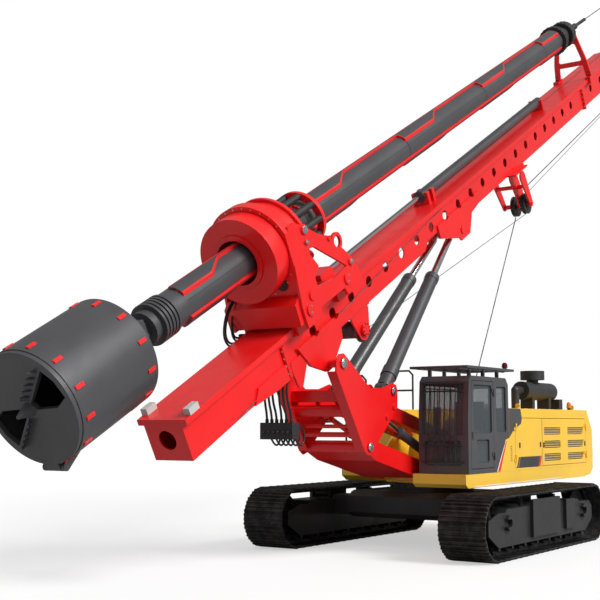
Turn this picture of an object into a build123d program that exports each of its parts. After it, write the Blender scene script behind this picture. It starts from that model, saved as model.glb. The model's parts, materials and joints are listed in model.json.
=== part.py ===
from build123d import *
import math
import os

# Rotary piling rig: a crawler machine that bores foundation piles.
# A slewing upper body carries a cab, a hood and winches.  A parallel linkage at its front
# holds a triangle frame, and the mast hinges on that frame.  The mast guides a crowd
# carriage with the rotary power head, and a kelly bar with a drilling bucket.
#
# Millimetres.  +X points forward to the bucket, +Y to the machine's left, the cab's side,
# +Z up.  Lengths are taken from the slew axis on the ground until the last step, which
# moves the whole machine so that the origin lies under the middle of its bounding box.
# Mast pieces are drawn upright in the mast's own axes, n forward, y left, s up from the
# foot, and then leaned back into place.  Outlines are lists of (x, z) or (n, s) points.

# Fits: beside a pin or a seated face, round a rod, and between faces that pass each other
PIN_FIT = 0.3
ROD_PLAY = 0.3
SIDE_PLAY = 6
RAIL_PLAY = 6

# Undercarriage
TRACK_GAUGE = 3640
SHOE_WIDTH = 780
TRACK_LENGTH = 5200
TRACK_HEIGHT = 1014
SHOE_COUNT = 52
CHAIN_DEPTH = 92
GROUSER_HEIGHT = 30
FRAME_DEPTH = 560
BEAM_WALL = 30
ROLLER_RADIUS = 88
ROLLER_COUNT = 8
CAR_BODY_LENGTH = 1900
CAR_BODY_HALF_WIDTH = 1150
CROSS_BEAM_HEIGHT = 340
CROSS_BEAM_LENGTH = 420
SLEW_RING_RADIUS = 680
SLEW_RING_HEIGHT = 110

# Upper body
DECK_BOTTOM = 1075
DECK_TOP = 1290
UPPER_HALF_WIDTH = 1550
HOOD_TOP = 2350
HOOD_WALL = 40
REAR_X = -3890
COUNTERWEIGHT_FRONT = -3540
DECK_FRONT_LEFT = 1820
DECK_FRONT_RIGHT = 500

# Cab
CAB_REAR = 140
CAB_FRONT = 1710
CAB_INBOARD = 670
CAB_BOTTOM = DECK_TOP + PIN_FIT
CAB_TOP = 2850
CAB_WALL = 60
DOOR_REAR = 760
DOOR_FRONT = 1600
DOOR_BOTTOM = 1375
DOOR_TOP = 2770
DOOR_GAP = 8
GLASS = 6
GUARD_TOP = 3000

# Doors: hinge pins off the wall, the heights of the hinges, and the hood's doors as (from, to)
HINGE_RADIUS = 15
HINGE_OUT = 16
HINGE_HALF = 60
HINGE_STRAP = 60
DOOR_HINGE_Z = (1560, 2600)
CAB_DOOR_AXIS = DOOR_REAR - DOOR_GAP / 2
HOOD_INBOARD = 640
HOOD_HINGE_Z = (1500, 2030)
HOOD_DOORS = {"front": (-1295, -120), "rear": (-3500, -1330)}
HOOD_DOOR_Z = (1345, 2180)
# x from and to of a louvre column, and how far the lower rear corner stands forward
LOUVRE_COLUMNS = [(-2190, -1410, 0), (-3420, -2560, 80)]
LOUVRE_SLATS = 3
LOUVRE_ROWS = [(1420, 1550), (1650, 1780), (1890, 2020)]

# Main winch
WINCH_X = -1560
WINCH_Z = 1800

# Front linkage, pivots as (x, z); offsets are from the boom's pins
BOOM_PIVOT = (954, 1244)
LINK_LENGTH = 2250
LINK_ANGLE = 12.6
STRUT_OFFSET = (-760, 615)
MAST_PIVOT_OFFSET = (750, 1235)
MAST_CYLINDER_OFFSET = (-730, 865)
LUFF_BASE_OFFSET = (-334, 176)
LUFF_EYE_OFFSET = (-530, 455)
SIDE_PLATE_Y = 600
SIDE_PLATE = 25
FRONT_FLANGE = 160
PIN_RADIUS = 50
LUFF_BASE_PIN_RADIUS = 45
LUFF_EYE_PIN_RADIUS = 40
LUFF_EYE_DRIFT = 20
MAST_PIN_RADIUS = 62

# Lateral places of the linkage
CHEEK = 35
CHEEK_Y = 560
STRUT_Y = 290
STRUT_HALF = 70
LUFF_Y = 470
LUFF_HALF = 45
BOOM_HALF_WIDTH = 545
BOOM_EAR_Y = 490
INNER_PLATE_Y = 190

# Mast, in its own axes
MAST_ANGLE = 28.8
PIVOT_N = -300
PIVOT_S = 3350
MAST_HALF_WIDTH = 310
MAST_DEPTH = 580
MAST_WALL = 20
RAIL_HALF_WIDTH = 400
RAIL_DEPTH = 80
FOOT_JOINT = 2390
TOP_JOINT = 16450
MAST_TOP = 20050
SIDE_HOLE_FIRST = 3250
SIDE_HOLE_PITCH = 617
SIDE_HOLE_COUNT = 21
SIDE_HOLE_RADIUS = 90

BACK_OPENING = (6500, 9300)
SCALLOP = (7150, 7765)
SCALLOP_DEPTH = 125
HEAD_SHEAVE_RADIUS = 300
GUIDE_SHEAVE_RADIUS = 215
# n, s, y of the rope guide sheaves behind the mast
GUIDE_SHEAVES = {"guide_sheave_main": (-885, 12030, 0), "guide_sheave_auxiliary": (-770, 11800, 330)}
AUXILIARY_WINCH = (-320, 4620)
CARRIAGE_SHOES = [(2690, 3070), (3900, 4360)]
ARM_Y = (622, 662)
LIFTING_RING = (1375, 3985)
LIFTING_RING_BORE = 88

# Mast cylinders
MAST_CYLINDER_EYE = (-170, 8680)
MAST_CYLINDER_BASE_Y = 400
MAST_CYLINDER_EYE_Y = 140
MAST_EYE_HALF = 40
# how far the rods' eyes move sideways as the slanted rods slide in
MAST_EYE_SHIFT = 42
MAST_BARREL_LENGTH = 2980
MAST_BARREL_RADIUS = 120
MAST_ROD_RADIUS = 60
MAST_ROD_LENGTH = 3380
MAST_ROD_NECK = 260

# Crowd cylinder
CROWD_N = 740
CROWD_BARREL = (7980, 14450)
CROWD_BARREL_RADIUS = 100
CROWD_GLAND_RADIUS = 110
CROWD_ROD_RADIUS = 48
CROWD_ROD_SEAT = 4480
CROWD_ROD_TOP = 10700

# Kelly bar, power head and bucket
KELLY_N = 1720
KELLY_RADIUS = 254
KELLY_SQUARE = 100
KELLY_KEY_RADIUS = 288
KELLY_BOTTOM = 220
KELLY_TOP = 16100
# the stretches where each drive key is wide, from their low ends
KEY_STEPS = [350, 3980, 7610, 11240, 14870]
KEY_TURN = 8
NECK_RADIUS = 150
NECK = (16940, 17130)
GUIDE_LOW = 16980
GUIDE_PLATE = 60
SLEEVE_BORE = 330
SLEEVE_RADIUS = 402
HEAD_BOTTOM = 2435
HEAD_RADIUS = 630
HOUSING_TOP = 3300
HOUSING_LIP = 650
SPRING_CIRCLE = 386
SPRING_RADIUS = 52
HOUSING_RADIUS = 605
SEAT_RADIUS = 700
SEAT_S = (2762, 2950)
BUCKET_RADIUS = 700
BUCKET_TOP = -425
BUCKET_BOTTOM = -1790
MOUTH_TURN = 40
GATE_PIN_RADIUS = 22

def block(x, y, z):
    """A box from three (low, high) pairs."""
    size = (x[1] - x[0], y[1] - y[0], z[1] - z[0])
    return Pos(x[0], y[0], z[0]) * Box(*size, align=(Align.MIN, Align.MIN, Align.MIN))


def plate(outline, y):
    """A flat plate from its (x, z) outline, between two y values."""
    face = Plane.XZ.offset(-y[1]) * Polygon(*outline, align=None)
    return extrude(face, amount=y[1] - y[0], dir=(0, -1, 0))


def lug(discs, y):
    """A plate wrapped round discs of (x, z, radius), as a cut steel lug is."""
    rims = Sketch() + [Pos(x, z) * Circle(radius) for x, z, radius in discs]
    face = Plane.XZ.offset(-y[1]) * make_hull(rims.edges())
    return extrude(face, amount=y[1] - y[0], dir=(0, -1, 0))


def cross_pin(point, radius, y):
    """A round bar along y through an (x, z) point."""
    face = Plane.XZ.offset(-y[1]) * Pos(point[0], point[1]) * Circle(radius)
    return extrude(face, amount=y[1] - y[0], dir=(0, -1, 0))


def bar(start, end, radius):
    """A round bar between two points."""
    axis = Vector(*end) - Vector(*start)
    plane = Plane(origin=start, z_dir=axis)
    upright = (Align.CENTER, Align.CENTER, Align.MIN)
    return plane * Cylinder(radius, axis.length, align=upright)


def column(n, y, s, radius):
    """A round bar along the mast, between two s values."""
    return bar((n, y, s[0]), (n, y, s[1]), radius)


def both(part):
    """A piece and its mirror image on the other side of the machine."""
    return part + mirror(part, about=Plane.XZ)


def side_range(side, low, high):
    """The same |y| range on the left (+1) or right (-1) side, in rising order."""
    return (low, high) if side > 0 else (-high, -low)


def ahead(point, length, angle):
    """The (x, z) point at a length and an angle above the horizontal."""
    turn = math.radians(angle)
    return (point[0] + length * math.cos(turn), point[1] + length * math.sin(turn))


# Points that follow from the dimensions
STRUT_PIVOT = (BOOM_PIVOT[0] + STRUT_OFFSET[0], BOOM_PIVOT[1] + STRUT_OFFSET[1])
BOOM_END = ahead(BOOM_PIVOT, LINK_LENGTH, LINK_ANGLE)
STRUT_END = ahead(STRUT_PIVOT, LINK_LENGTH, LINK_ANGLE)
MAST_PIVOT = (BOOM_END[0] + MAST_PIVOT_OFFSET[0], BOOM_END[1] + MAST_PIVOT_OFFSET[1])
MAST_CYLINDER_BASE = (BOOM_END[0] + MAST_CYLINDER_OFFSET[0], BOOM_END[1] + MAST_CYLINDER_OFFSET[1])
LUFF_BASE = (BOOM_PIVOT[0] + LUFF_BASE_OFFSET[0], BOOM_PIVOT[1] + LUFF_BASE_OFFSET[1])
LUFF_EYE = (BOOM_END[0] + LUFF_EYE_OFFSET[0], BOOM_END[1] + LUFF_EYE_OFFSET[1])
HEAD_SHEAVES = {"head_sheave_front": (KELLY_N - HEAD_SHEAVE_RADIUS, 20560), "head_sheave_rear": (-330, 20460)}
GATE_HINGE = (KELLY_N - BUCKET_RADIUS - 55, BUCKET_BOTTOM)
TRACK_Y = TRACK_GAUGE / 2
WHEEL_Z = TRACK_HEIGHT / 2
WHEEL_X = (TRACK_LENGTH - TRACK_HEIGHT) / 2
CHAIN_INSIDE = WHEEL_Z - CHAIN_DEPTH
SHOE_FACE = WHEEL_Z - GROUSER_HEIGHT
LEAN = MAST_ANGLE - 90
RAIL_FRONT = MAST_DEPTH
RAIL_BACK = MAST_DEPTH - RAIL_DEPTH


def mast_point(n, s):
    """The machine's (x, z) for a point of the mast's own axes."""
    turn = math.radians(MAST_ANGLE)
    along, out = s - PIVOT_S, n - PIVOT_N
    x = MAST_PIVOT[0] - along * math.cos(turn) + out * math.sin(turn)
    z = MAST_PIVOT[1] + along * math.sin(turn) + out * math.cos(turn)
    return (x, z)


MAST_ORIGIN = mast_point(0, 0)
MAST_EYE = mast_point(*MAST_CYLINDER_EYE)
MAST_PLACE = Location((MAST_ORIGIN[0], 0, MAST_ORIGIN[1]), (0, LEAN, 0))


def loop_point(travel, radius):
    """A point of the track's loop at a distance along it, out at a radius."""
    run = 2 * WHEEL_X
    bend = math.pi * SHOE_FACE
    travel = travel % (2 * run + 2 * bend)
    if travel < run:
        return (-WHEEL_X + travel, WHEEL_Z - radius)
    if travel < run + bend:
        turn = (travel - run) / SHOE_FACE - math.pi / 2
        return (WHEEL_X + radius * math.cos(turn), WHEEL_Z + radius * math.sin(turn))
    if travel < 2 * run + bend:
        return (WHEEL_X - (travel - run - bend), WHEEL_Z + radius)
    turn = (travel - 2 * run - bend) / SHOE_FACE + math.pi / 2
    return (-WHEEL_X + radius * math.cos(turn), WHEEL_Z + radius * math.sin(turn))


def stadium(radius):
    """The outline of a plain belt round both wheels."""
    return Pos(0, WHEEL_Z) * SlotCenterToCenter(2 * WHEEL_X, 2 * radius)


def track(side):
    """One fixed loop of shoes, each a plate with a grouser at its leading edge."""
    # share of the pitch, radius
    shoe = [
        (0.04, SHOE_FACE),
        (0.10, WHEEL_Z),
        (0.20, WHEEL_Z),
        (0.26, SHOE_FACE),
        (0.93, SHOE_FACE),
        (0.96, SHOE_FACE - GROUSER_HEIGHT),
    ]
    length = 4 * WHEEL_X + 2 * math.pi * SHOE_FACE
    pitch = length / SHOE_COUNT
    rim = [
        loop_point((index + share) * pitch, radius)
        for index in range(SHOE_COUNT)
        for share, radius in shoe
    ]
    outline = Polygon(*rim, align=None) - stadium(CHAIN_INSIDE)
    low = side * TRACK_Y - SHOE_WIDTH / 2
    face = Plane.XZ.offset(-low - SHOE_WIDTH) * outline
    return extrude(face, amount=SHOE_WIDTH, dir=(0, -1, 0))


def track_frame(side):
    """A box beam with two cheeks that hold the wheels, outer step boxes and lugs."""
    centre = side * TRACK_Y
    half = FRAME_DEPTH / 2
    beam_end = WHEEL_X - CHAIN_INSIDE - 40
    roller_top = CHAIN_DEPTH + 2 * ROLLER_RADIUS + 20
    beam = plate(
        [
            (-beam_end, roller_top),
            (beam_end, roller_top),
            (beam_end, 690),
            (beam_end - 120, 770),
            (-beam_end + 120, 770),
            (-beam_end, 690),
        ],
        (centre - half, centre + half),
    )
    cheek_outline = [
        (-WHEEL_X - 120, 400),
        (-WHEEL_X + 240, 200),
        (WHEEL_X - 240, 200),
        (WHEEL_X + 120, 400),
        (WHEEL_X + 120, 620),
        (WHEEL_X - 240, 720),
        (-WHEEL_X + 240, 720),
        (-WHEEL_X - 120, 620),
    ]
    frame = beam
    for low in (-half, half - BEAM_WALL):
        frame += plate(cheek_outline, (centre + low, centre + low + BEAM_WALL))
    face = half if side > 0 else -half
    outer = sorted((centre + face, centre + face + side * 60))
    # x from, x to, z from, z to
    for box in [(-540, 630, 270, 870), (-1240, -820, 300, 800)]:
        frame += block(box[:2], outer, box[2:])
    ring_y = sorted((centre + face, centre + face + side * 70))
    for x in (1540, -1720):
        ring = cross_pin((x, 560), 120, ring_y) - cross_pin((x, 560), 62, ring_y)
        frame += ring - block((x + 30, x + 130), ring_y, (500, 620))
    return frame


def running_gear(side):
    """The idler, the sprocket and the rollers that the chain runs on."""
    centre = side * TRACK_Y
    half = FRAME_DEPTH / 2 - BEAM_WALL - PIN_FIT
    wheel = CHAIN_INSIDE - PIN_FIT
    gear = []
    idler = cross_pin((WHEEL_X, WHEEL_Z), wheel, (centre - 90, centre + 90))
    idler -= cross_pin((WHEEL_X, WHEEL_Z), wheel - 90, (centre + 50, centre + 90))
    idler -= cross_pin((WHEEL_X, WHEEL_Z), wheel - 90, (centre - 90, centre - 50))
    gear.append(idler + cross_pin((WHEEL_X, WHEEL_Z), 110, (centre - half, centre + half)))
    teeth = 21
    blank = cross_pin((-WHEEL_X, WHEEL_Z), wheel, (centre - 45, centre + 45))
    notch = cross_pin((-WHEEL_X + wheel, WHEEL_Z), 34, (centre - 45, centre + 45))
    axis = Axis((-WHEEL_X, centre, WHEEL_Z), (0, 1, 0))
    blank -= [notch.rotate(axis, index * 360 / teeth) for index in range(teeth)]
    gear.append(blank + cross_pin((-WHEEL_X, WHEEL_Z), 210, (centre - half, centre + half)))
    span = 2 * (WHEEL_X - 330)
    for index in range(ROLLER_COUNT):
        x = -span / 2 + span * index / (ROLLER_COUNT - 1)
        z = CHAIN_DEPTH + ROLLER_RADIUS + PIN_FIT
        gear.append(
            cross_pin((x, z), ROLLER_RADIUS, (centre - 170, centre + 170))
            + cross_pin((x, z), 40, (centre - half, centre + half))
        )
    return gear


def top_rollers(side):
    """Two carrier rollers on posts, under the upper run of the chain."""
    centre = side * TRACK_Y
    radius = 60
    z = TRACK_HEIGHT - CHAIN_DEPTH - PIN_FIT - radius
    posts = []
    for x in (-700, 700):
        posts.append(
            cross_pin((x, z), radius, (centre - 130, centre + 130))
            + block((x - 40, x + 40), (centre + 131, centre + 171), (770, z + 30))
            + cross_pin((x, z), 25, (centre + 129, centre + 171))
        )
    return posts


def car_body():
    """The centre box between the tracks, with two cross beams and the ring seat."""
    half = CAR_BODY_LENGTH / 2
    body = plate(
        [(-half, 560), (-half + 160, 470), (half - 160, 470), (half, 560), (half, 840),
         (half - 200, 930), (-half + 200, 930), (-half, 840)],
        (-CAR_BODY_HALF_WIDTH, CAR_BODY_HALF_WIDTH),
    )
    reach = TRACK_Y - FRAME_DEPTH / 2
    for x in (-half + 180, half - 180 - CROSS_BEAM_LENGTH):
        body += block((x, x + CROSS_BEAM_LENGTH), (-reach, reach), (500, 500 + CROSS_BEAM_HEIGHT))
    standing = (Align.CENTER, Align.CENTER, Align.MIN)
    body += Pos(0, 0, 930) * Cylinder(SLEW_RING_RADIUS + 60, 30, align=standing)
    return body


def slew_ring():
    """The outer ring of the slew bearing, bolted to the car body."""
    low = 960
    height = DECK_BOTTOM - low - 5
    ring = Cylinder(SLEW_RING_RADIUS, height, align=(Align.CENTER, Align.CENTER, Align.MIN))
    hole = Cylinder(SLEW_RING_RADIUS - 130, height, align=(Align.CENTER, Align.CENTER, Align.MIN))
    return Pos(0, 0, low) * (ring - hole)


def platform():
    """The slewing deck: a centre frame, side skirts and the cheeks that hold the linkage."""
    deck = block((COUNTERWEIGHT_FRONT + PIN_FIT, DECK_FRONT_RIGHT), (-620, 620), (DECK_BOTTOM, DECK_TOP))
    skirt = plate(
        [
            (COUNTERWEIGHT_FRONT + PIN_FIT, DECK_TOP),
            (COUNTERWEIGHT_FRONT + PIN_FIT, DECK_BOTTOM + 60),
            (COUNTERWEIGHT_FRONT + 90, DECK_BOTTOM),
            (DECK_FRONT_LEFT - 90, DECK_BOTTOM),
            (DECK_FRONT_LEFT, DECK_BOTTOM + 60),
            (DECK_FRONT_LEFT, DECK_TOP),
        ],
        (615, UPPER_HALF_WIDTH),
    )
    right = plate(
        [
            (COUNTERWEIGHT_FRONT + PIN_FIT, DECK_TOP),
            (COUNTERWEIGHT_FRONT + PIN_FIT, DECK_BOTTOM + 60),
            (COUNTERWEIGHT_FRONT + 90, DECK_BOTTOM),
            (DECK_FRONT_RIGHT - 150, DECK_BOTTOM),
            (DECK_FRONT_RIGHT, DECK_BOTTOM + 90),
            (DECK_FRONT_RIGHT, DECK_TOP),
        ],
        (-UPPER_HALF_WIDTH, -615),
    )
    turret = Pos(0, 0, DECK_BOTTOM - 5) * Cylinder(
        SLEW_RING_RADIUS - 40, 30, align=(Align.CENTER, Align.CENTER, Align.MIN)
    )
    frame = deck + skirt + right + turret
    outer = [
        (-1150, DECK_BOTTOM + 40),
        (BOOM_PIVOT[0] - 60, DECK_BOTTOM + 40),
        (BOOM_PIVOT[0] + 110, BOOM_PIVOT[1] - 60),
        (BOOM_PIVOT[0] + 110, BOOM_PIVOT[1] + 60),
        (STRUT_PIVOT[0] + 130, STRUT_PIVOT[1] + 40),
        (STRUT_PIVOT[0] + 40, STRUT_PIVOT[1] + 130),
        (STRUT_PIVOT[0] - 110, STRUT_PIVOT[1] + 100),
        (-1150, DECK_TOP + 60),
    ]
    inner = [
        (-1150, DECK_BOTTOM + 40),
        (DECK_FRONT_RIGHT, DECK_BOTTOM + 40),
        (DECK_FRONT_RIGHT + 60, DECK_TOP),
        (STRUT_PIVOT[0] + 130, STRUT_PIVOT[1] + 40),
        (STRUT_PIVOT[0] + 40, STRUT_PIVOT[1] + 130),
        (STRUT_PIVOT[0] - 110, STRUT_PIVOT[1] + 100),
        (-1150, DECK_TOP + 60),
    ]
    cheek = plate(outer, (CHEEK_Y, CHEEK_Y + CHEEK))
    inner_cheek = plate(inner, (STRUT_Y - STRUT_HALF - SIDE_PLAY - CHEEK, STRUT_Y - STRUT_HALF - SIDE_PLAY))
    frame += both(cheek) + both(inner_cheek)
    pin_y = (STRUT_Y - STRUT_HALF - SIDE_PLAY - CHEEK, CHEEK_Y + CHEEK)
    frame += both(cross_pin(STRUT_PIVOT, PIN_RADIUS, pin_y))
    frame += both(cross_pin(BOOM_PIVOT, PIN_RADIUS, (BOOM_EAR_Y, CHEEK_Y + CHEEK)))
    frame += both(cross_pin(LUFF_BASE, LUFF_BASE_PIN_RADIUS, (LUFF_Y - LUFF_HALF - 40, CHEEK_Y + CHEEK)))
    return frame


def boom():
    """The lower link: a deep box with a forked tail and a cross tube at its front."""
    lengthwise = Plane(
        origin=(BOOM_PIVOT[0], 0, BOOM_PIVOT[1]), x_dir=Vector(1, 0, 0).rotate(Axis.Y, -LINK_ANGLE),
        z_dir=(0, -1, 0),
    )
    outline = [(0, -95), (420, -150), (LINK_LENGTH - 330, -150), (LINK_LENGTH - 40, -90),
               (LINK_LENGTH - 40, 90), (LINK_LENGTH - 330, 140), (420, 140), (0, 95)]
    side = Polygon(*outline, align=None) + Circle(95) + Pos(LINK_LENGTH, 0) * Circle(95)
    box = extrude(lengthwise * side, amount=BOOM_HALF_WIDTH, both=True)
    slot_length = 620
    slot = Pos(slot_length / 2 - 150, 0) * Rectangle(slot_length, 400)
    box -= extrude(lengthwise * slot, amount=BOOM_EAR_Y - 60, both=True)
    box -= cross_pin(BOOM_PIVOT, PIN_RADIUS + PIN_FIT, (-BOOM_HALF_WIDTH - 1, BOOM_HALF_WIDTH + 1))
    box -= cross_pin(BOOM_END, PIN_RADIUS + PIN_FIT, (-BOOM_HALF_WIDTH - 1, BOOM_HALF_WIDTH + 1))
    return box


def strut(side):
    """One upper link, a flat box with an eye at each end."""
    y = side_range(side, STRUT_Y - STRUT_HALF, STRUT_Y + STRUT_HALF)
    link = lug([(*STRUT_PIVOT, 110), (*STRUT_END, 110)], y)
    for pivot in (STRUT_PIVOT, STRUT_END):
        link -= cross_pin(pivot, PIN_RADIUS + PIN_FIT, y)
    return link


def triangle():
    """The frame that the mast hinges on: side plates with front flanges, beams and pins."""
    px, pz = MAST_PIVOT
    cx, cz = MAST_CYLINDER_BASE
    mx, mz = STRUT_END
    bx, bz = BOOM_END
    front_top = (px + 190, pz - 140)
    front_low = (bx + 140, bz - 65)
    # outline from the mast's ear, down the front to the boom's pin and up the back
    outline = [
        (px - 110, pz + 90),
        (px - 20, pz + 145),
        (px + 100, pz + 130),
        (px + 190, pz + 30),
        front_top,
        front_low,
        (bx + 40, bz - 130),
        (bx - 90, bz - 90),
        (mx - 110, mz - 10),
        (cx - 150, cz - 10),
        (cx - 110, cz + 90),
        (cx, cz + 125),
        (cx + 310, cz + 40),
        (cx + 720, cz + 30),
    ]
    side = plate(outline, (SIDE_PLATE_Y - SIDE_PLATE, SIDE_PLATE_Y))
    run = Vector(front_low[0] - front_top[0], 0, front_low[1] - front_top[1])
    start_y = SIDE_PLATE_Y - FRONT_FLANGE
    front = Plane(origin=(front_top[0], start_y, front_top[1]), x_dir=run, z_dir=(0, -1, 0))
    strip = front * Pos(run.length / 2, -SIDE_PLATE / 2) * Rectangle(run.length, SIDE_PLATE)
    flange = extrude(strip, amount=FRONT_FLANGE - 1, dir=(0, 1, 0))
    frame = both(side + flange)
    inner_y = (INNER_PLATE_Y - SIDE_PLATE, INNER_PLATE_Y)
    discs = [(cx, cz, 110), (mx, mz, 110), (bx + 60, bz + 560, 120), (bx + 250, bz + 720, 60)]
    frame += both(lug(discs, inner_y))
    reach = SIDE_PLATE_Y - 5
    frame += block((bx + 200, bx + 380), (-reach, reach), (bz + 680, bz + 850))
    # x, z, radius of the cross tubes
    for x, z, radius in [
        (bx + 330, bz + 540, 90),
        (bx + 250, bz + 310, 30),
        (bx + 230, bz + 185, 40),
    ]:
        frame += cross_pin((x, z), radius, (-reach, reach))
    outer = SIDE_PLATE_Y + 22
    # pivot, radius, inner end of each pin
    for pivot, radius, start in [
        (MAST_PIVOT, MAST_PIN_RADIUS, MAST_HALF_WIDTH + PIN_FIT),
        (MAST_CYLINDER_BASE, PIN_RADIUS, INNER_PLATE_Y - SIDE_PLATE),
        (STRUT_END, PIN_RADIUS, INNER_PLATE_Y - SIDE_PLATE),
        (BOOM_END, PIN_RADIUS, BOOM_EAR_Y - 100),
        (LUFF_EYE, LUFF_EYE_PIN_RADIUS, LUFF_Y - LUFF_HALF - 20),
    ]:
        frame += both(cross_pin(pivot, radius, (start, outer)))
    return frame


def luff_barrels():
    """The barrels of the two luff cylinders, hinged on the platform's cheeks."""
    tilt = math.degrees(math.atan2(LUFF_EYE[1] - LUFF_BASE[1], LUFF_EYE[0] - LUFF_BASE[0]))
    head = ahead(LUFF_BASE, 1500, tilt)
    parts = []
    for side in (1, -1):
        y = side_range(side, LUFF_Y - LUFF_HALF, LUFF_Y + LUFF_HALF)
        eye = cross_pin(LUFF_BASE, 100, y)
        start = ahead(LUFF_BASE, 60, tilt)
        neck = ahead(LUFF_BASE, 1380, tilt)
        centre = side * LUFF_Y
        tube = bar((start[0], centre, start[1]), (head[0], centre, head[1]), 75)
        collar = bar((neck[0], centre, neck[1]), (head[0], centre, head[1]), 84)
        bore = ahead(LUFF_BASE, 300, tilt)
        mouth = ahead(head, 5, tilt)
        hole = bar((bore[0], centre, bore[1]), (mouth[0], centre, mouth[1]), 45 + ROD_PLAY)
        eye_hole = cross_pin(LUFF_BASE, LUFF_BASE_PIN_RADIUS + PIN_FIT, y)
        parts.append(eye + tube + collar - hole - eye_hole)
    return parts


def luff_rods():
    """The rods of the two luff cylinders with their eyes."""
    tilt = math.degrees(math.atan2(LUFF_EYE[1] - LUFF_BASE[1], LUFF_EYE[0] - LUFF_BASE[0]))
    start = ahead(LUFF_BASE, 700, tilt)
    end = ahead(LUFF_EYE, -60, tilt)
    parts = []
    for side in (1, -1):
        y = side_range(side, LUFF_Y - LUFF_HALF, LUFF_Y + LUFF_HALF)
        centre = side * LUFF_Y
        rod = bar((start[0], centre, start[1]), (end[0], centre, end[1]), 45)
        eye_hole = cross_pin(LUFF_EYE, LUFF_EYE_PIN_RADIUS + LUFF_EYE_DRIFT, y)
        parts.append(rod + cross_pin(LUFF_EYE, 90, y) - eye_hole)
    return parts


def cylinder_line(side):
    """The two ends of one mast cylinder's axis."""
    start = Vector(MAST_CYLINDER_BASE[0], side * MAST_CYLINDER_BASE_Y, MAST_CYLINDER_BASE[1])
    end = Vector(MAST_EYE[0], side * MAST_CYLINDER_EYE_Y, MAST_EYE[1])
    return start, end


def mast_barrels():
    """The barrels of the two mast cylinders, hinged on the triangle frame."""
    parts = []
    for side in (1, -1):
        start, end = cylinder_line(side)
        way = (end - start).normalized()
        y = side_range(side, MAST_CYLINDER_BASE_Y - 75, MAST_CYLINDER_BASE_Y + 75)
        tube = bar(start + way * 80, start + way * MAST_BARREL_LENGTH, MAST_BARREL_RADIUS)
        tube += bar(start + way * 330, start + way * 520, MAST_BARREL_RADIUS + 16)
        tube += bar(start + way * (MAST_BARREL_LENGTH - 130), start + way * (MAST_BARREL_LENGTH - 20),
                    MAST_BARREL_RADIUS + 8)
        tube += cross_pin(MAST_CYLINDER_BASE, 130, y)
        tube -= bar(start + way * 330, start + way * (MAST_BARREL_LENGTH + 5), MAST_ROD_RADIUS + ROD_PLAY)
        tube -= cross_pin(MAST_CYLINDER_BASE, PIN_RADIUS + PIN_FIT, y)
        parts.append(tube)
    return parts


def mast_rod(side):
    """One mast cylinder's rod with its eye and pin, between the mast's bracket plates."""
    start, end = cylinder_line(side)
    way = (end - start).normalized()
    length = (end - start).length
    rod = bar(start + way * (length - MAST_ROD_LENGTH), end - way * MAST_ROD_NECK, MAST_ROD_RADIUS)
    rod += bar(end - way * (MAST_ROD_NECK + 1), end - way * 60, MAST_EYE_HALF)
    eye_y = side_range(side, MAST_CYLINDER_EYE_Y - MAST_EYE_HALF, MAST_CYLINDER_EYE_Y + MAST_EYE_HALF)
    pin_end = MAST_HALF_WIDTH - MAST_WALL - SIDE_PLAY - MAST_EYE_SHIFT
    pin = side_range(side, MAST_CYLINDER_EYE_Y - MAST_EYE_HALF - 5, pin_end)
    return rod + cross_pin(MAST_EYE, 90, eye_y) + cross_pin(MAST_EYE, PIN_RADIUS, pin)


def counterweight():
    """The cast block across the rear, with a chamfered top edge."""
    outline = [
        (COUNTERWEIGHT_FRONT, DECK_BOTTOM + 30),
        (REAR_X + 180, DECK_BOTTOM + 30),
        (REAR_X + 20, DECK_BOTTOM + 150),
        (REAR_X, 1500),
        (REAR_X + 20, 1970),
        (REAR_X + 290, HOOD_TOP),
        (COUNTERWEIGHT_FRONT, HOOD_TOP),
    ]
    body = plate(outline, (-UPPER_HALF_WIDTH, UPPER_HALF_WIDTH))
    recess = block((REAR_X - 10, REAR_X + 160), (-420, 420), (1950, HOOD_TOP + 10))
    return body - recess


def engine():
    """The engine as one plain mass, standing on the deck inside the hood."""
    return block((-2900, -1500), (720, 1340), (DECK_TOP + PIN_FIT, 2050))


def cab_outline(inset):
    """The cab's side outline in x and z, set in by a wall."""
    return [
        (CAB_FRONT - inset, CAB_BOTTOM + inset),
        (CAB_FRONT - inset, 2150),
        (CAB_FRONT - 45 - inset, CAB_TOP - 90 - inset / 2),
        (CAB_FRONT - 130 - inset / 2, CAB_TOP - inset),
        (CAB_REAR + 110 + inset / 2, CAB_TOP - inset),
        (CAB_REAR + 10 + inset, CAB_TOP - 110 - inset / 2),
        (CAB_REAR + inset, 1860 + inset / 3),
        (CAB_REAR + 150 + inset, 1830 + inset / 3),
        (CAB_REAR + 480 + inset * 0.8, CAB_BOTTOM + inset),
    ]


def hinge_knuckles(axis_x, wall_y, toward, heights, low, high):
    """Half of each hinge: knuckles at an upright axis off the wall, with their straps."""
    knuckles = []
    for z in heights:
        axis_y = wall_y + HINGE_OUT
        knuckle = bar((axis_x, axis_y, z + low), (axis_x, axis_y, z + high), HINGE_RADIUS)
        strap_x = sorted((axis_x, axis_x + toward * HINGE_STRAP))
        strap = block(strap_x, (wall_y, wall_y + HINGE_OUT - 4), (z + low, z + high))
        knuckles.append(knuckle + strap)
    return knuckles


DOOR_OUTLINE = [
    (DOOR_REAR, DOOR_BOTTOM),
    (DOOR_FRONT, DOOR_BOTTOM),
    (DOOR_FRONT, 2150),
    (DOOR_FRONT - 30, DOOR_TOP),
    (DOOR_REAR, DOOR_TOP),
]


def grown(outline, gap):
    """The outline of an opening, larger by a gap all round than what fills it."""
    return offset(Polygon(*outline, align=None), amount=gap, kind=Kind.INTERSECTION)


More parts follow.
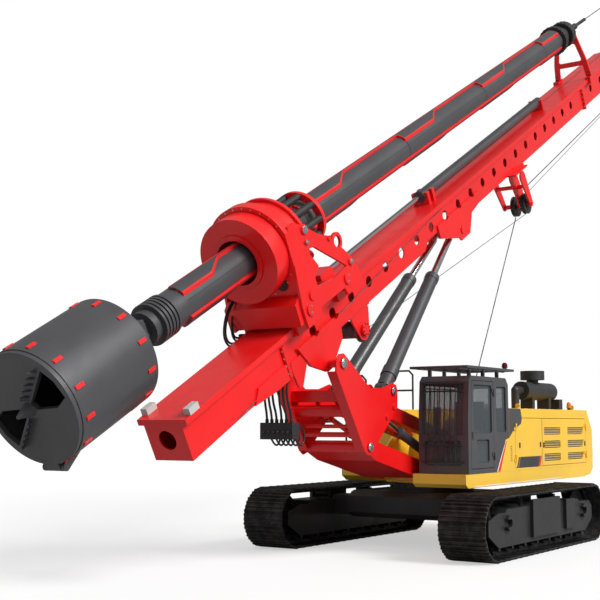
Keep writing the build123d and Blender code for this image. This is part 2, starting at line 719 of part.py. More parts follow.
def side_cut(sketch, y):
    """Solid to cut from a side wall: a sketch in x and z, through a y range."""
    return extrude(Plane.XZ.offset(-y[1]) * sketch, amount=y[1] - y[0], dir=(0, -1, 0))


def window(x, z, corner=40):
    """A window's rounded outline from x and z ranges."""
    size = RectangleRounded(x[1] - x[0], z[1] - z[0], corner)
    return Pos((x[0] + x[1]) / 2, (z[0] + z[1]) / 2) * size


REAR_QUARTER = window((250, 640), (1950, 2700))
SIDE_WINDOW = window((300, 1560), (1900, 2700))
DOOR_WINDOWS = [window((DOOR_REAR + 60, DOOR_FRONT - 90), (1930, 2710)),
                window((DOOR_REAR + 170, DOOR_FRONT - 200), (1460, 1830))]
FRONT_WINDOWS = [((CAB_INBOARD + 70, UPPER_HALF_WIDTH - 90), (1900, 2720)),
                 ((CAB_INBOARD + 110, UPPER_HALF_WIDTH - 130), (1420, 1820))]
REAR_WINDOW = ((CAB_INBOARD + 90, UPPER_HALF_WIDTH - 90), (1980, 2680))


def front_cut(y, z, x, corner=40):
    """Solid to cut from a front or rear wall: a rounded window in y and z."""
    size = RectangleRounded(y[1] - y[0], z[1] - z[0], corner)
    plane = Plane(origin=(x[0], (y[0] + y[1]) / 2, (z[0] + z[1]) / 2), x_dir=(0, 1, 0), z_dir=(1, 0, 0))
    return extrude(plane * size, amount=x[1] - x[0])


def cab_shell():
    """The cab's welded panels: two side walls and, between them, front, roof, rear and floor."""
    left = (UPPER_HALF_WIDTH - CAB_WALL, UPPER_HALF_WIDTH)
    right = (CAB_INBOARD, CAB_INBOARD + CAB_WALL)
    left_wall = plate(cab_outline(0), left)
    left_wall -= side_cut(grown(DOOR_OUTLINE, DOOR_GAP), left)
    left_wall -= side_cut(REAR_QUARTER, left)
    left_wall += hinge_knuckles(CAB_DOOR_AXIS, UPPER_HALF_WIDTH, -1, DOOR_HINGE_Z, -HINGE_HALF, 0)
    right_wall = plate(cab_outline(0), right) - side_cut(SIDE_WINDOW, right)
    band_y = (right[1], left[0])
    band = plate(cab_outline(0), band_y) - plate(cab_outline(CAB_WALL), band_y)
    for y, z in FRONT_WINDOWS:
        band -= front_cut(y, z, (CAB_FRONT - CAB_WALL - 60, CAB_FRONT + 20))
    band -= front_cut(*REAR_WINDOW, (CAB_REAR - 20, CAB_REAR + CAB_WALL + 20))
    all_x = (CAB_REAR - 20, CAB_FRONT + 20)
    roof_z = CAB_TOP - 140
    floor_z = CAB_BOTTOM + CAB_WALL
    middle_x = (CAB_REAR + CAB_FRONT) / 2
    walls = (floor_z, roof_z)
    return [
        left_wall,
        right_wall,
        band & block(all_x, band_y, (CAB_BOTTOM, floor_z)),
        band & block(all_x, band_y, (roof_z, CAB_TOP)),
        band & block((middle_x, CAB_FRONT), band_y, walls),
        band & block((CAB_REAR, middle_x), band_y, walls),
    ]


def cab_glass():
    """The panes of the cab's fixed windows, each in the middle of its wall."""
    left = UPPER_HALF_WIDTH - CAB_WALL / 2
    right = CAB_INBOARD + CAB_WALL / 2
    middle = CAB_WALL / 2 - GLASS / 2
    panes = [
        side_cut(REAR_QUARTER, (left, left + GLASS)),
        side_cut(SIDE_WINDOW, (right, right + GLASS)),
        front_cut(*REAR_WINDOW, (CAB_REAR + middle, CAB_REAR + middle + GLASS)),
    ]
    sheet = plate(cab_outline(middle), (CAB_INBOARD, UPPER_HALF_WIDTH))
    sheet -= plate(cab_outline(middle + GLASS), (CAB_INBOARD, UPPER_HALF_WIDTH))
    for y, z in FRONT_WINDOWS:
        panes.append(sheet & front_cut(y, z, (CAB_FRONT - CAB_WALL - 60, CAB_FRONT + 20)))
    return panes


def cab_door():
    """The door leaf, as thick as the wall, with its two windows cut."""
    y = (UPPER_HALF_WIDTH - CAB_WALL, UPPER_HALF_WIDTH)
    leaf = plate(DOOR_OUTLINE, y)
    for sketch in DOOR_WINDOWS:
        leaf -= side_cut(sketch, (y[0] - 5, y[1] + 5))
    handle = block((DOOR_FRONT - 70, DOOR_FRONT - 40), (y[1], y[1] + 14), (1840, 1960))
    leaf += hinge_knuckles(CAB_DOOR_AXIS, UPPER_HALF_WIDTH, 1, DOOR_HINGE_Z, PIN_FIT, HINGE_HALF)
    return leaf + handle


def door_glass():
    """The panes of the door."""
    low = UPPER_HALF_WIDTH - CAB_WALL / 2
    return [side_cut(sketch, (low, low + GLASS)) for sketch in DOOR_WINDOWS]


def cab_interior():
    """Seat, armrest consoles and the pedal stand on the cab's floor."""
    floor = CAB_BOTTOM + CAB_WALL
    middle = (CAB_INBOARD + UPPER_HALF_WIDTH) / 2
    side = UPPER_HALF_WIDTH - CAB_WALL - middle
    seat_y = (middle - 240, middle + 240)
    cushion = block((CAB_REAR + 600, CAB_REAR + 1040), seat_y, (floor + 390, floor + 500))
    base = block((CAB_REAR + 660, CAB_REAR + 1010), (middle - 200, middle + 200), (floor, floor + 391))
    back = plate(
        [(600, 500), (700, 500), (620, 1100), (540, 1100)],
        seat_y,
    )
    parts = [cushion + base, Pos(CAB_REAR, 0, floor) * back]
    for y in (middle - side + 45, middle + side - 105):
        parts.append(block((CAB_REAR + 760, CAB_REAR + 1160), (y, y + 60), (floor, floor + 640)))
    stand_y = CAB_INBOARD + CAB_WALL + 130
    parts.append(block((CAB_FRONT - 230, CAB_FRONT - 150), (stand_y, stand_y + 100), (floor, floor + 1000)))
    return parts


def roof_guard():
    """The grating over the cab's roof on its short posts."""
    y = (CAB_INBOARD - 50, UPPER_HALF_WIDTH + 90)
    x = (CAB_REAR - 50, CAB_FRONT + 190)
    z = (GUARD_TOP - 40, GUARD_TOP)
    guard = block(x, y, z) - block((x[0] + 50, x[1] - 50), (y[0] + 50, y[1] - 50), z)
    bars = 9
    for index in range(1, bars + 1):
        along = x[0] + 50 + (x[1] - x[0] - 100) * index / (bars + 1)
        guard += block((along - 12, along + 12), (y[0] + 20, y[1] - 20), (z[0], z[1] - 8))
    for px in (CAB_REAR + 260, 950, CAB_FRONT - 240):
        for py in (CAB_INBOARD + 90, UPPER_HALF_WIDTH - 90):
            guard += block((px - 25, px + 25), (py - 25, py + 25), (CAB_TOP + PIN_FIT, z[0] + 10))
    for py in (CAB_INBOARD + 90, UPPER_HALF_WIDTH - 90):
        guard += block((x[0] + 30, x[1] - 30), (py - 20, py + 20), (z[0] - 12, z[0] + 10))
    return guard


# hinge axis x and the side of it that the door lies on
HOOD_HINGES = {
    "front": (HOOD_DOORS["front"][1] + DOOR_GAP / 2, -1),
    "rear": (HOOD_DOORS["rear"][0] - DOOR_GAP / 2, 1),
}


def left_hood():
    """The engine hood behind the cab: a shell with two doorways and an open underside."""
    outline = [
        (CAB_REAR + 480 - 20, DECK_TOP + PIN_FIT),
        (CAB_REAR + 150 - 20, 1820),
        (CAB_REAR - 12, 1848),
        (CAB_REAR - 12, HOOD_TOP),
        (COUNTERWEIGHT_FRONT + PIN_FIT, HOOD_TOP),
        (COUNTERWEIGHT_FRONT + PIN_FIT, DECK_TOP + PIN_FIT),
    ]
    shell = plate(outline, (HOOD_INBOARD, UPPER_HALF_WIDTH))
    inside = grown(outline, -HOOD_WALL) + grown([(x, z - HOOD_WALL) for x, z in outline], -HOOD_WALL)
    shell -= side_cut(inside, (HOOD_INBOARD + HOOD_WALL, UPPER_HALF_WIDTH - HOOD_WALL))
    left = (UPPER_HALF_WIDTH - HOOD_WALL - 5, UPPER_HALF_WIDTH + 5)
    for low, high in HOOD_DOORS.values():
        shell -= block((low - DOOR_GAP, high + DOOR_GAP), left,
                       (HOOD_DOOR_Z[0] - DOOR_GAP, HOOD_DOOR_Z[1] + DOOR_GAP))
    for axis_x, toward in HOOD_HINGES.values():
        shell += hinge_knuckles(axis_x, UPPER_HALF_WIDTH, -toward, HOOD_HINGE_Z, -HINGE_HALF, 0)
    return shell


def hood_door(name):
    """One side door of the hood; the rear one has two columns of louvres."""
    low, high = HOOD_DOORS[name]
    y = (UPPER_HALF_WIDTH - HOOD_WALL, UPPER_HALF_WIDTH)
    leaf = block((low, high), y, HOOD_DOOR_Z)
    if name == "rear":
        for rear, fore, slant in LOUVRE_COLUMNS:
            for bottom, top in LOUVRE_ROWS:
                corners = [(rear, top), (fore, top), (fore, bottom), (rear + slant, bottom)]
                hole = Polygon(*corners, align=None)
                leaf -= side_cut(fillet(hole.vertices(), 15), (y[0] - 5, y[1] + 5))
                for index in range(LOUVRE_SLATS):
                    at = bottom + (top - bottom) * (index + 0.5) / LOUVRE_SLATS
                    leaf += block((rear - 2, fore + 2), (y[0] + 6, y[1] - 10), (at - 5, at + 5))
    axis_x, toward = HOOD_HINGES[name]
    return leaf + hinge_knuckles(axis_x, UPPER_HALF_WIDTH, toward, HOOD_HINGE_Z, PIN_FIT, HINGE_HALF)


def right_body():
    """The right side: a hood with the tanks, and the lower tool box in front of it."""
    hood = plate(
        [
            (-420, DECK_TOP + PIN_FIT),
            (-420, HOOD_TOP - 40),
            (-480, HOOD_TOP),
            (COUNTERWEIGHT_FRONT + PIN_FIT, HOOD_TOP),
            (COUNTERWEIGHT_FRONT + PIN_FIT, DECK_TOP + PIN_FIT),
        ],
        (-UPPER_HALF_WIDTH, -720),
    )
    return hood


def tool_box():
    """The dark box with a lid on the right front of the deck."""
    return block((-410, DECK_FRONT_RIGHT - 20), (-UPPER_HALF_WIDTH + 30, -760), (DECK_TOP + PIN_FIT, 1640))


def air_cleaner():
    """The air cleaner's drum with its mushroom intake and elbow, and the exhaust box."""
    top = HOOD_TOP + PIN_FIT
    drum = bar((-1680, 1000, 2700), (-3080, 1000, 2700), 170)
    drum += bar((-2250, 1000, 2800), (-2250, 1000, 2940), 110)
    drum += bar((-2250, 1000, 2910), (-2250, 1000, 3080), 225)
    elbow = bar((-1430, 1000, top), (-1430, 1000, 2700), 75) + Pos(-1430, 1000, 2700) * Sphere(75)
    drum += elbow + bar((-1430, 1000, 2700), (-1700, 1000, 2700), 75)
    for x in (-2000, -2800):
        drum += block((x - 60, x + 60), (880, 1120), (top, 2600))
    exhaust = block((-3300, -3120), (760, 1180), (top, 2560))
    return [drum, exhaust]


def handrails():
    """The ladder rail and the rails of the right walkway."""
    def hoop(x, y, low, high, width):
        radius = 18
        bend = high - 80
        post = bar((x, y, low), (x, y, bend), radius) + bar((x, y + width, low), (x, y + width, bend), radius)
        top = bar((x, y + 80, high), (x, y + width - 80, high), radius)
        corner = [
            bar((x, y, bend), (x, y + 80, high), radius),
            bar((x, y + width - 80, high), (x, y + width, bend), radius),
        ]
        joints = [Pos(x, y + a, b) * Sphere(radius) for a, b in
                  [(0, high - 80), (80, high), (width - 80, high), (width, high - 80)]]
        rung = bar((x, y, (low + high) / 2), (x, y + width, (low + high) / 2), radius)
        return post + top + corner + joints + rung
    return [hoop(DECK_FRONT_RIGHT - 80, -1500, 1640 + PIN_FIT, 2950, 420),
            hoop(-1200, -1500, HOOD_TOP + PIN_FIT, 3100, 500)]


def winch_frame():
    """The main winch's stands and motor cases on the deck."""
    stands = []
    for side in (1, -1):
        y = side_range(side, 430, 470)
        foot_z = DECK_TOP + 60
        stand = lug([(WINCH_X, WINCH_Z, 260), (WINCH_X - 300, foot_z, 59), (WINCH_X + 300, foot_z, 59)], y)
        stand += cross_pin((WINCH_X, WINCH_Z), 190, side_range(side, 469, 560))
        stand += cross_pin((WINCH_X, WINCH_Z), 70, side_range(side, 380, 431))
        stands.append(stand)
    base = block((WINCH_X - 380, WINCH_X + 380), (-475, 475), (DECK_TOP + PIN_FIT, DECK_TOP + 30))
    return stands[0] + stands[1] + base


def winch_drum():
    """The main winch's drum with the rope wound on it."""
    drum = cross_pin((WINCH_X, WINCH_Z), 290, (-330, 330))
    for low in (-400, 370):
        drum += cross_pin((WINCH_X, WINCH_Z), 400, (low, low + 30))
    drum += cross_pin((WINCH_X, WINCH_Z), 200, (-395, 395))
    for low in (-410, 370):
        drum -= cross_pin((WINCH_X, WINCH_Z), 70 + PIN_FIT, (low, low + 40))
    return drum


def mast_box(low, high):
    """A length of the mast's hollow box with its front rail flange."""
    half = MAST_HALF_WIDTH
    box = block((0, MAST_DEPTH), (-half, half), (low, high))
    inside = half - MAST_WALL
    box -= block((MAST_WALL, MAST_DEPTH - MAST_WALL), (-inside, inside), (low - 1, high + 1))
    for side in (1, -1):
        box += block((RAIL_BACK, RAIL_FRONT), side_range(side, half - 1, RAIL_HALF_WIDTH), (low, high))
    return box


def joint_flange(s, thick):
    """The bolted flange round the box at a section joint."""
    low, high = -40, RAIL_BACK - 65
    half = MAST_HALF_WIDTH + 45
    ring = block((low, high), (-half, half), (s, s + thick))
    inside = MAST_HALF_WIDTH - MAST_WALL
    return ring - block((MAST_WALL, high + 1), (-inside, inside), (s, s + thick))


def mast_foot():
    """The bottom section with its end plate, rope hole and stop pads."""
    foot = mast_box(0, FOOT_JOINT - PIN_FIT)
    foot += block((0, MAST_DEPTH), (-MAST_HALF_WIDTH, MAST_HALF_WIDTH), (0, 25))
    foot -= column(MAST_DEPTH / 2, 0, (-1, 26), 135)
    for side in (1, -1):
        foot += block((RAIL_FRONT - 1, RAIL_FRONT + 90), side_range(side, 300, RAIL_HALF_WIDTH), (120, 320))
        y = side_range(side, MAST_HALF_WIDTH - 1, MAST_HALF_WIDTH + 30)
        joint = FOOT_JOINT - PIN_FIT - 30
        foot += plate([(1, 1450), (-60, 2030), (-60, joint), (180, joint), (180, 1620)], y)
    foot += joint_flange(FOOT_JOINT - PIN_FIT - 30, 30)
    return MAST_PLACE * foot


def mast_middle():
    """The long section: pivot lugs, side holes, cylinder bracket and crowd mounts."""
    half = MAST_HALF_WIDTH
    middle = mast_box(FOOT_JOINT, TOP_JOINT - PIN_FIT)
    middle += joint_flange(FOOT_JOINT, 30) + joint_flange(TOP_JOINT - PIN_FIT - 30, 30)
    for side in (1, -1):
        wall = side_range(side, half - 1, half + 55)
        ear_n = PIVOT_N - 90
        ear = [
            (250, 2700),
            (-120, 2900),
            (ear_n, PIVOT_S - 90),
            (ear_n, PIVOT_S + 60),
            (-120, PIVOT_S + 520),
            (250, PIVOT_S + 620),
        ]
        middle += plate(ear, wall)
        thin = side_range(side, half - 1, half + 30)
        middle += lug([(-210, 2570, 80), (60, 2530, 80), (60, 2830, 80)], thin)
        middle += plate([(240, 7770), (-8, 7770), (-275, 8500), (-345, 8560), (-345, 8960), (-230, 9060),
                         (-33, 9227), (30, 9690), (240, 9690)], thin)
        middle += cross_pin(MAST_CYLINDER_EYE, 78, side_range(side, half + 29, half + 50))
    inside = half - MAST_WALL
    middle -= block((-60, MAST_WALL + 1), (-inside, inside), (BACK_OPENING[0], BACK_OPENING[1]))
    for side in (1, -1):
        wall = side_range(side, half - MAST_WALL - 1, half + 60)
        hole = [cross_pin((MAST_DEPTH / 2, SIDE_HOLE_FIRST + index * SIDE_HOLE_PITCH), SIDE_HOLE_RADIUS, wall)
                for index in range(SIDE_HOLE_COUNT)]
        middle -= hole
        middle -= cross_pin((PIVOT_N, PIVOT_S), MAST_PIN_RADIUS + PIN_FIT, wall)
        low, high = SCALLOP
        scallop = [(-1, low), (SCALLOP_DEPTH, low + 200), (SCALLOP_DEPTH, high), (-1, high)]
        middle -= plate(scallop, side_range(side, half - MAST_WALL - 1, half + 1))
    for low, radius in [
        (CROWD_BARREL[0] + 30, CROWD_GLAND_RADIUS),
        (CROWD_BARREL[0] + 250, CROWD_BARREL_RADIUS),
        (CROWD_BARREL[1] - 180, CROWD_BARREL_RADIUS),
    ]:
        clamp = block((MAST_DEPTH - 1, CROWD_N + 60), (-radius - 50, radius + 50), (low, low + 90))
        middle += clamp - column(CROWD_N, 0, (low - 1, low + 91), radius + PIN_FIT)
    return MAST_PLACE * middle


def mast_top():
    """The top section of the mast."""
    top = mast_box(TOP_JOINT, MAST_TOP - PIN_FIT) + joint_flange(TOP_JOINT, 30)
    for index in range(4):
        for side in (1, -1):
            wall = side_range(side, MAST_HALF_WIDTH - MAST_WALL - 1, MAST_HALF_WIDTH + 1)
            top -= cross_pin((MAST_DEPTH / 2, TOP_JOINT + 700 + index * 800), SIDE_HOLE_RADIUS, wall)
    return MAST_PLACE * top


def mast_head():
    """The head frame: two cheeks that carry the rope sheaves ahead of and behind the mast."""
    cap = block((0, MAST_DEPTH), (-MAST_HALF_WIDTH, MAST_HALF_WIDTH), (MAST_TOP, MAST_TOP + 40))
    head = cap
    front, rear = HEAD_SHEAVES["head_sheave_front"], HEAD_SHEAVES["head_sheave_rear"]
    for side in (1, -1):
        y = side_range(side, 150, 180)
        head += plate([(0, MAST_TOP + 39), (MAST_DEPTH, MAST_TOP + 39), (front[0] + 60, front[1] - 120),
                       (front[0] + 120, front[1]), (front[0] + 40, front[1] + 110),
                       (rear[0], rear[1] + 110), (rear[0] - 110, rear[1]), (rear[0] - 40, rear[1] - 110)], y)
    for n, s in (front, rear):
        head += cross_pin((n, s), 45, (-190, 190))
    return MAST_PLACE * head


def sheave(point, radius, half, groove=26):
    """A rope sheave about a pin at an (n, s) point."""
    disc = cross_pin(point, radius, (-half, half))
    ring = Pos(point[0], 0, point[1]) * Rot(90, 0, 0) * Torus(radius + 8, groove)
    disc -= ring
    web = half - 14
    for low in (-half, web):
        band = cross_pin(point, radius - 60, (low, low + 14)) - cross_pin(point, 90, (low, low + 14))
        disc -= band
    return disc - cross_pin(point, 45 + PIN_FIT, (-half, half))


def head_sheave(name):
    return MAST_PLACE * sheave(HEAD_SHEAVES[name], HEAD_SHEAVE_RADIUS, 42)


def guide_bracket():
    """The bracket behind the mast that carries the two rope guide sheaves."""
    bracket = block((-30, 0), (-330, 330), (11300, 12150))
    bracket += block((-30, -1), (200, 460), (11300, 12000))
    main = GUIDE_SHEAVES["guide_sheave_main"]
    side_sheave = GUIDE_SHEAVES["guide_sheave_auxiliary"]
    # low y and high y of each cheek, then the n, s, radius of its root and the sheave it reaches
    for low, high, root, point in [
        (-270, -240, (-150, 11780, 120), main),
        (200, 230, (-150, 11780, 120), main),
        (200, 230, (-160, 11650, 130), side_sheave),
        (430, 460, (-160, 11650, 130), side_sheave),
    ]:
        bracket += lug([root, (point[0], point[1], 75)], (low, high))
    bracket += cross_pin((-400, 11800), 42, (-245, 435))
    bracket += cross_pin(main[:2], 45, (-290, 225)) + cross_pin(side_sheave[:2], 45, (205, 475))
    return MAST_PLACE * bracket


def guide_sheave(name):
    n, s, y = GUIDE_SHEAVES[name]
    return MAST_PLACE * Pos(0, y, 0) * sheave((n, s), GUIDE_SHEAVE_RADIUS, 40)


def auxiliary_winch_frame():
    """The auxiliary winch's side plates, bolted under the mast."""
    frame = block((-25, -0.3), (-300, 300), (4300, 4960))
    for side in (1, -1):
        y = side_range(side, 262, 290)
        frame += lug([(-60, 4380, 35), (-60, 4880, 35), (*AUXILIARY_WINCH, 175)], y)
        frame += cross_pin(AUXILIARY_WINCH, 40, side_range(side, 215, 263))
        frame += cross_pin(AUXILIARY_WINCH, 110, side_range(side, 289, 340))
    return MAST_PLACE * frame


def auxiliary_winch_drum():
    """The auxiliary winch's drum with its rope."""
    drum = cross_pin(AUXILIARY_WINCH, 140, (-205, 205))
    for low in (-250, 225):
        drum += cross_pin(AUXILIARY_WINCH, 205, (low, low + 25))
    drum += cross_pin(AUXILIARY_WINCH, 120, (-248, 248))
    for low in (-260, 210):
        drum -= cross_pin(AUXILIARY_WINCH, 40 + PIN_FIT, (low, low + 50))
    return MAST_PLACE * drum


def crowd_barrel():
    """The long crowd cylinder's barrel on the front of the mast, with its gland."""
    low, high = CROWD_BARREL
    tube = column(CROWD_N, 0, (low, high), CROWD_BARREL_RADIUS)
    tube += column(CROWD_N, 0, (low, low + 150), CROWD_GLAND_RADIUS)
    tube -= column(CROWD_N, 0, (low - 10, high - 60), CROWD_ROD_RADIUS + ROD_PLAY)
    return MAST_PLACE * tube


def carriage():
    """The crowd carriage: two windowed arms on rail shoes, beams and the gearbox's seat."""
    half = RAIL_HALF_WIDTH
    arm_outline = [
        (560, 2690),
        (880, 2680),
        (2020, 2860),
        (2015, 3050),
        (1830, 3330),
        (1662, 3545),
        (1550, 3770),
        (1188, 4115),
        (952, 4300),
        (800, 4360),
        (600, 4360),
        (560, 4200),
        (560, 3900),
        (690, 3850),
        (700, 3140),
        (560, 3070),
    ]
    arm_window = [
        (1560, 3200),
        (1530, 3370),
        (960, 4060),
        (930, 3650),
        (1000, 3180),
        (1130, 3180),
        (1250, 3350),
        (1480, 3210),
    ]
    # n, s, radius of the pins and round bosses on each arm
    bosses = [
        (1844, 3228, 75),
        (1666, 3198, 42),
        (1500, 3787, 40),
        (978, 4180, 60),
        (949, 2987, 80),
        (785, 2851, 95),
        (790, 3983, 95),
    ]
    frame = Part()
    for side in (1, -1):
        inside, outside = ARM_Y
        arm_y = side_range(side, inside, outside)
        through = side_range(side, inside - 1, outside + 1)
        arm = plate(arm_outline, arm_y) - plate(arm_window, through)
        arm += cross_pin(LIFTING_RING, LIFTING_RING_BORE + 52, arm_y)
        arm -= cross_pin(LIFTING_RING, LIFTING_RING_BORE, through)
        for n, s, radius in bosses:
            arm += cross_pin((n, s), radius, side_range(side, outside - 1, outside + 22))
        frame += arm
        for low, high in CARRIAGE_SHOES:
            # the shoe hooks behind the mast's front rail
            shoe_n = (RAIL_BACK - RAIL_PLAY - 40, RAIL_FRONT + RAIL_PLAY + 40)
            shoe = block(shoe_n, side_range(side, half - 70, half + 60), (low, high))
            slot_y = side_range(side, half - 90, half + RAIL_PLAY)
            shoe -= block((RAIL_BACK - RAIL_PLAY, RAIL_FRONT + PIN_FIT), slot_y, (low - 1, high + 1))
            frame += shoe
            bracket_y = side_range(side, half - 70, inside + 1)
            frame += block((RAIL_FRONT + RAIL_PLAY + 10, 760), bracket_y, (low + 70, low + 210))
    for low, high in CARRIAGE_SHOES:
        frame += block((RAIL_FRONT + RAIL_PLAY + 12, 740), (-half, half), (low + 90, low + 190))
    # the buffer under the power head and the plate behind its front disc
    between = (-inside - 1, inside + 1)
    frame += plate([(640, 2580), (640, 2960), (1040, 2960), (1040, 2700), (960, 2580)], between)
    frame += block((1000, 1500), between, (SEAT_S[0], SEAT_S[0] + 40))
    seat = column(KELLY_N, 0, SEAT_S, SEAT_RADIUS) & block((0, 3000), (-outside, outside), SEAT_S)
    frame += seat
    frame -= column(KELLY_N, 0, (SEAT_S[0] - 300, SEAT_S[1] + 500), HOUSING_RADIUS + PIN_FIT)
    top = CARRIAGE_SHOES[1][0] + 190
    frame += block((CROWD_N - 90, CROWD_N + 90), (-130, 130), (top, CROWD_ROD_SEAT))
    frame += block((RAIL_FRONT + RAIL_PLAY + 12, 740), (-130, 130), (top - 1, top + 90))
    return MAST_PLACE * frame


def crowd_rod():
    """The crowd cylinder's rod, fixed to the carriage."""
    rod = column(CROWD_N, 0, (CROWD_ROD_SEAT + PIN_FIT, CROWD_ROD_TOP), CROWD_ROD_RADIUS)
    return MAST_PLACE * rod


def power_head():
    """The rotary drive's housing with its front disc, upper lip and motors."""
    bore = SLEEVE_RADIUS + ROD_PLAY
    body = column(KELLY_N, 0, (HEAD_BOTTOM, HEAD_BOTTOM + 320), HEAD_RADIUS)
    body += column(KELLY_N, 0, (HEAD_BOTTOM + 319, HOUSING_TOP), HOUSING_RADIUS)
    body += column(KELLY_N, 0, (HOUSING_TOP - 60, HOUSING_TOP), HOUSING_LIP) & block(
        (0, 3000), (-ARM_Y[0] + PIN_FIT, ARM_Y[0] - PIN_FIT), (HOUSING_TOP - 60, HOUSING_TOP)
    )
    for side in (1, -1):
        body += column(KELLY_N - 402, side * 335, (HOUSING_TOP - 1, HOUSING_TOP + 380), 75)
    body -= column(KELLY_N, 0, (HEAD_BOTTOM - 1, HOUSING_TOP + 1), bore)
    return MAST_PLACE * body


def drive_head():
    """The turning sleeve that drives the kelly bar, with the damper springs and their ring."""
    low = HOUSING_TOP + SIDE_PLAY
    ring = SPRING_CIRCLE + SPRING_RADIUS + 4
    sleeve = column(KELLY_N, 0, (HEAD_BOTTOM - 30, low + 1), SLEEVE_RADIUS)
    sleeve += column(KELLY_N, 0, (low, low + 90), ring)
    sleeve += column(KELLY_N, 0, (4120, 4190), ring)
    springs = 10
    for index in range(springs):
        turn = 2 * math.pi * (index + 0.5) / springs
        n = KELLY_N + SPRING_CIRCLE * math.cos(turn)
        y = SPRING_CIRCLE * math.sin(turn)
        sleeve += column(n, y, (low + 89, 4121), SPRING_RADIUS)
    sleeve -= column(KELLY_N, 0, (HEAD_BOTTOM - 31, 4191), SLEEVE_BORE)
    return MAST_PLACE * sleeve


def kelly():
    """The telescopic kelly bar's outer tube: stepped drive keys, damper and head flanges."""
    tube = column(KELLY_N, 0, (690, KELLY_TOP), KELLY_RADIUS)
    narrow = 32
    wide = 190
    # each key's outline as (across, s), up its straight edge and down its steps
    outline = [(-narrow, 900), (-narrow, KELLY_TOP - 100), (narrow, KELLY_TOP - 100)]
    for low in reversed(KEY_STEPS):
        if low + 1630 < KELLY_TOP:
            outline += [(narrow, low + 1630), (wide, low + 1240)]
        else:
            outline += [(wide, KELLY_TOP - 100)]
        outline += [(wide, max(low, 900)), (narrow, max(low, 900))]
    strip = extrude(Plane.YZ * Polygon(*outline, align=None), amount=KELLY_KEY_RADIUS + 10, dir=(1, 0, 0))
    shell = column(0, 0, (0, KELLY_TOP), KELLY_KEY_RADIUS)
    shell -= column(0, 0, (-1, KELLY_TOP + 1), KELLY_RADIUS - 10)
    key = strip & shell
    for index in range(3):
        tube += Pos(KELLY_N, 0, 0) * Rot(0, 0, KEY_TURN + 120 * index) * key
    # s from and to, radius of the head's flanges, hub and neck
    for low, high, radius in [
        (KELLY_TOP, KELLY_TOP + 170, 330),
        (KELLY_TOP + 169, 16700, 215),
        (16699, NECK[0], 300),
        (NECK[0] - 1, NECK[1], NECK_RADIUS),
    ]:
        tube += column(KELLY_N, 0, (low, high), radius)
    rings = 5
    for index in range(rings):
        s = 350 + index * 68
        tube += column(KELLY_N, 0, (s, s + 40), 285)
    tube += column(KELLY_N, 0, (KELLY_BOTTOM, 691), 225)
    end = KELLY_SQUARE
    tube += block((KELLY_N - end, KELLY_N + end), (-end, end), (-260, KELLY_BOTTOM + 1))
    return MAST_PLACE * tube


def kelly_guide():
    """The guide that holds the kelly bar's head: an A-frame across the mast on rail shoes."""
    half = RAIL_HALF_WIDTH
    foot_n = RAIL_FRONT + RAIL_PLAY + 10
    # corners as (n, y) of the frame and of the windows below and above its crossbar
    outline = [(foot_n, 450), (1000, 400), (1620, 260), (1620, -260), (1000, -400), (foot_n, -450)]
    lower = [(foot_n - 1, 320), (900, 290), (900, -290), (foot_n - 1, -320)]
    upper = [(1010, 290), (1440, 190), (1440, -190), (1010, -290)]
    sheet = Polygon(*outline, align=None) - Polygon(*lower, align=None)
    window_face = Polygon(*upper, align=None)
    sheet -= fillet(window_face.vertices(), 50)
    frame = extrude(Plane.XY.offset(GUIDE_LOW) * sheet, amount=GUIDE_PLATE, dir=(0, 0, 1))
    for side in (1, -1):
        shoe_s = (GUIDE_LOW - 150, GUIDE_LOW + 210)
        shoe_n = (RAIL_BACK - RAIL_PLAY - 35, foot_n + 30)
        shoe = block(shoe_n, side_range(side, half - 70, half + 60), shoe_s)
        slot_y = side_range(side, half - 90, half + RAIL_PLAY)
        shoe -= block((RAIL_BACK - RAIL_PLAY, RAIL_FRONT + PIN_FIT), slot_y, (shoe_s[0] - 1, shoe_s[1] + 1))
        frame += shoe
    collar = (NECK[0] + SIDE_PLAY, NECK[1] - SIDE_PLAY)
    frame += column(KELLY_N, 0, collar, NECK_RADIUS + 70)
    frame -= column(KELLY_N, 0, (collar[0] - 1, collar[1] + 1), NECK_RADIUS + PIN_FIT)
    return MAST_PLACE * frame


def rope_swivel():
    """The swivel on the kelly bar's head that the main rope holds."""
    low = NECK[1] + PIN_FIT
    body = column(KELLY_N, 0, (low, low + 370), 110)
    body += column(KELLY_N, 0, (low + 369, low + 670), 75)
    body += column(KELLY_N, 0, (low + 669, 18600), 40)
    return MAST_PLACE * body


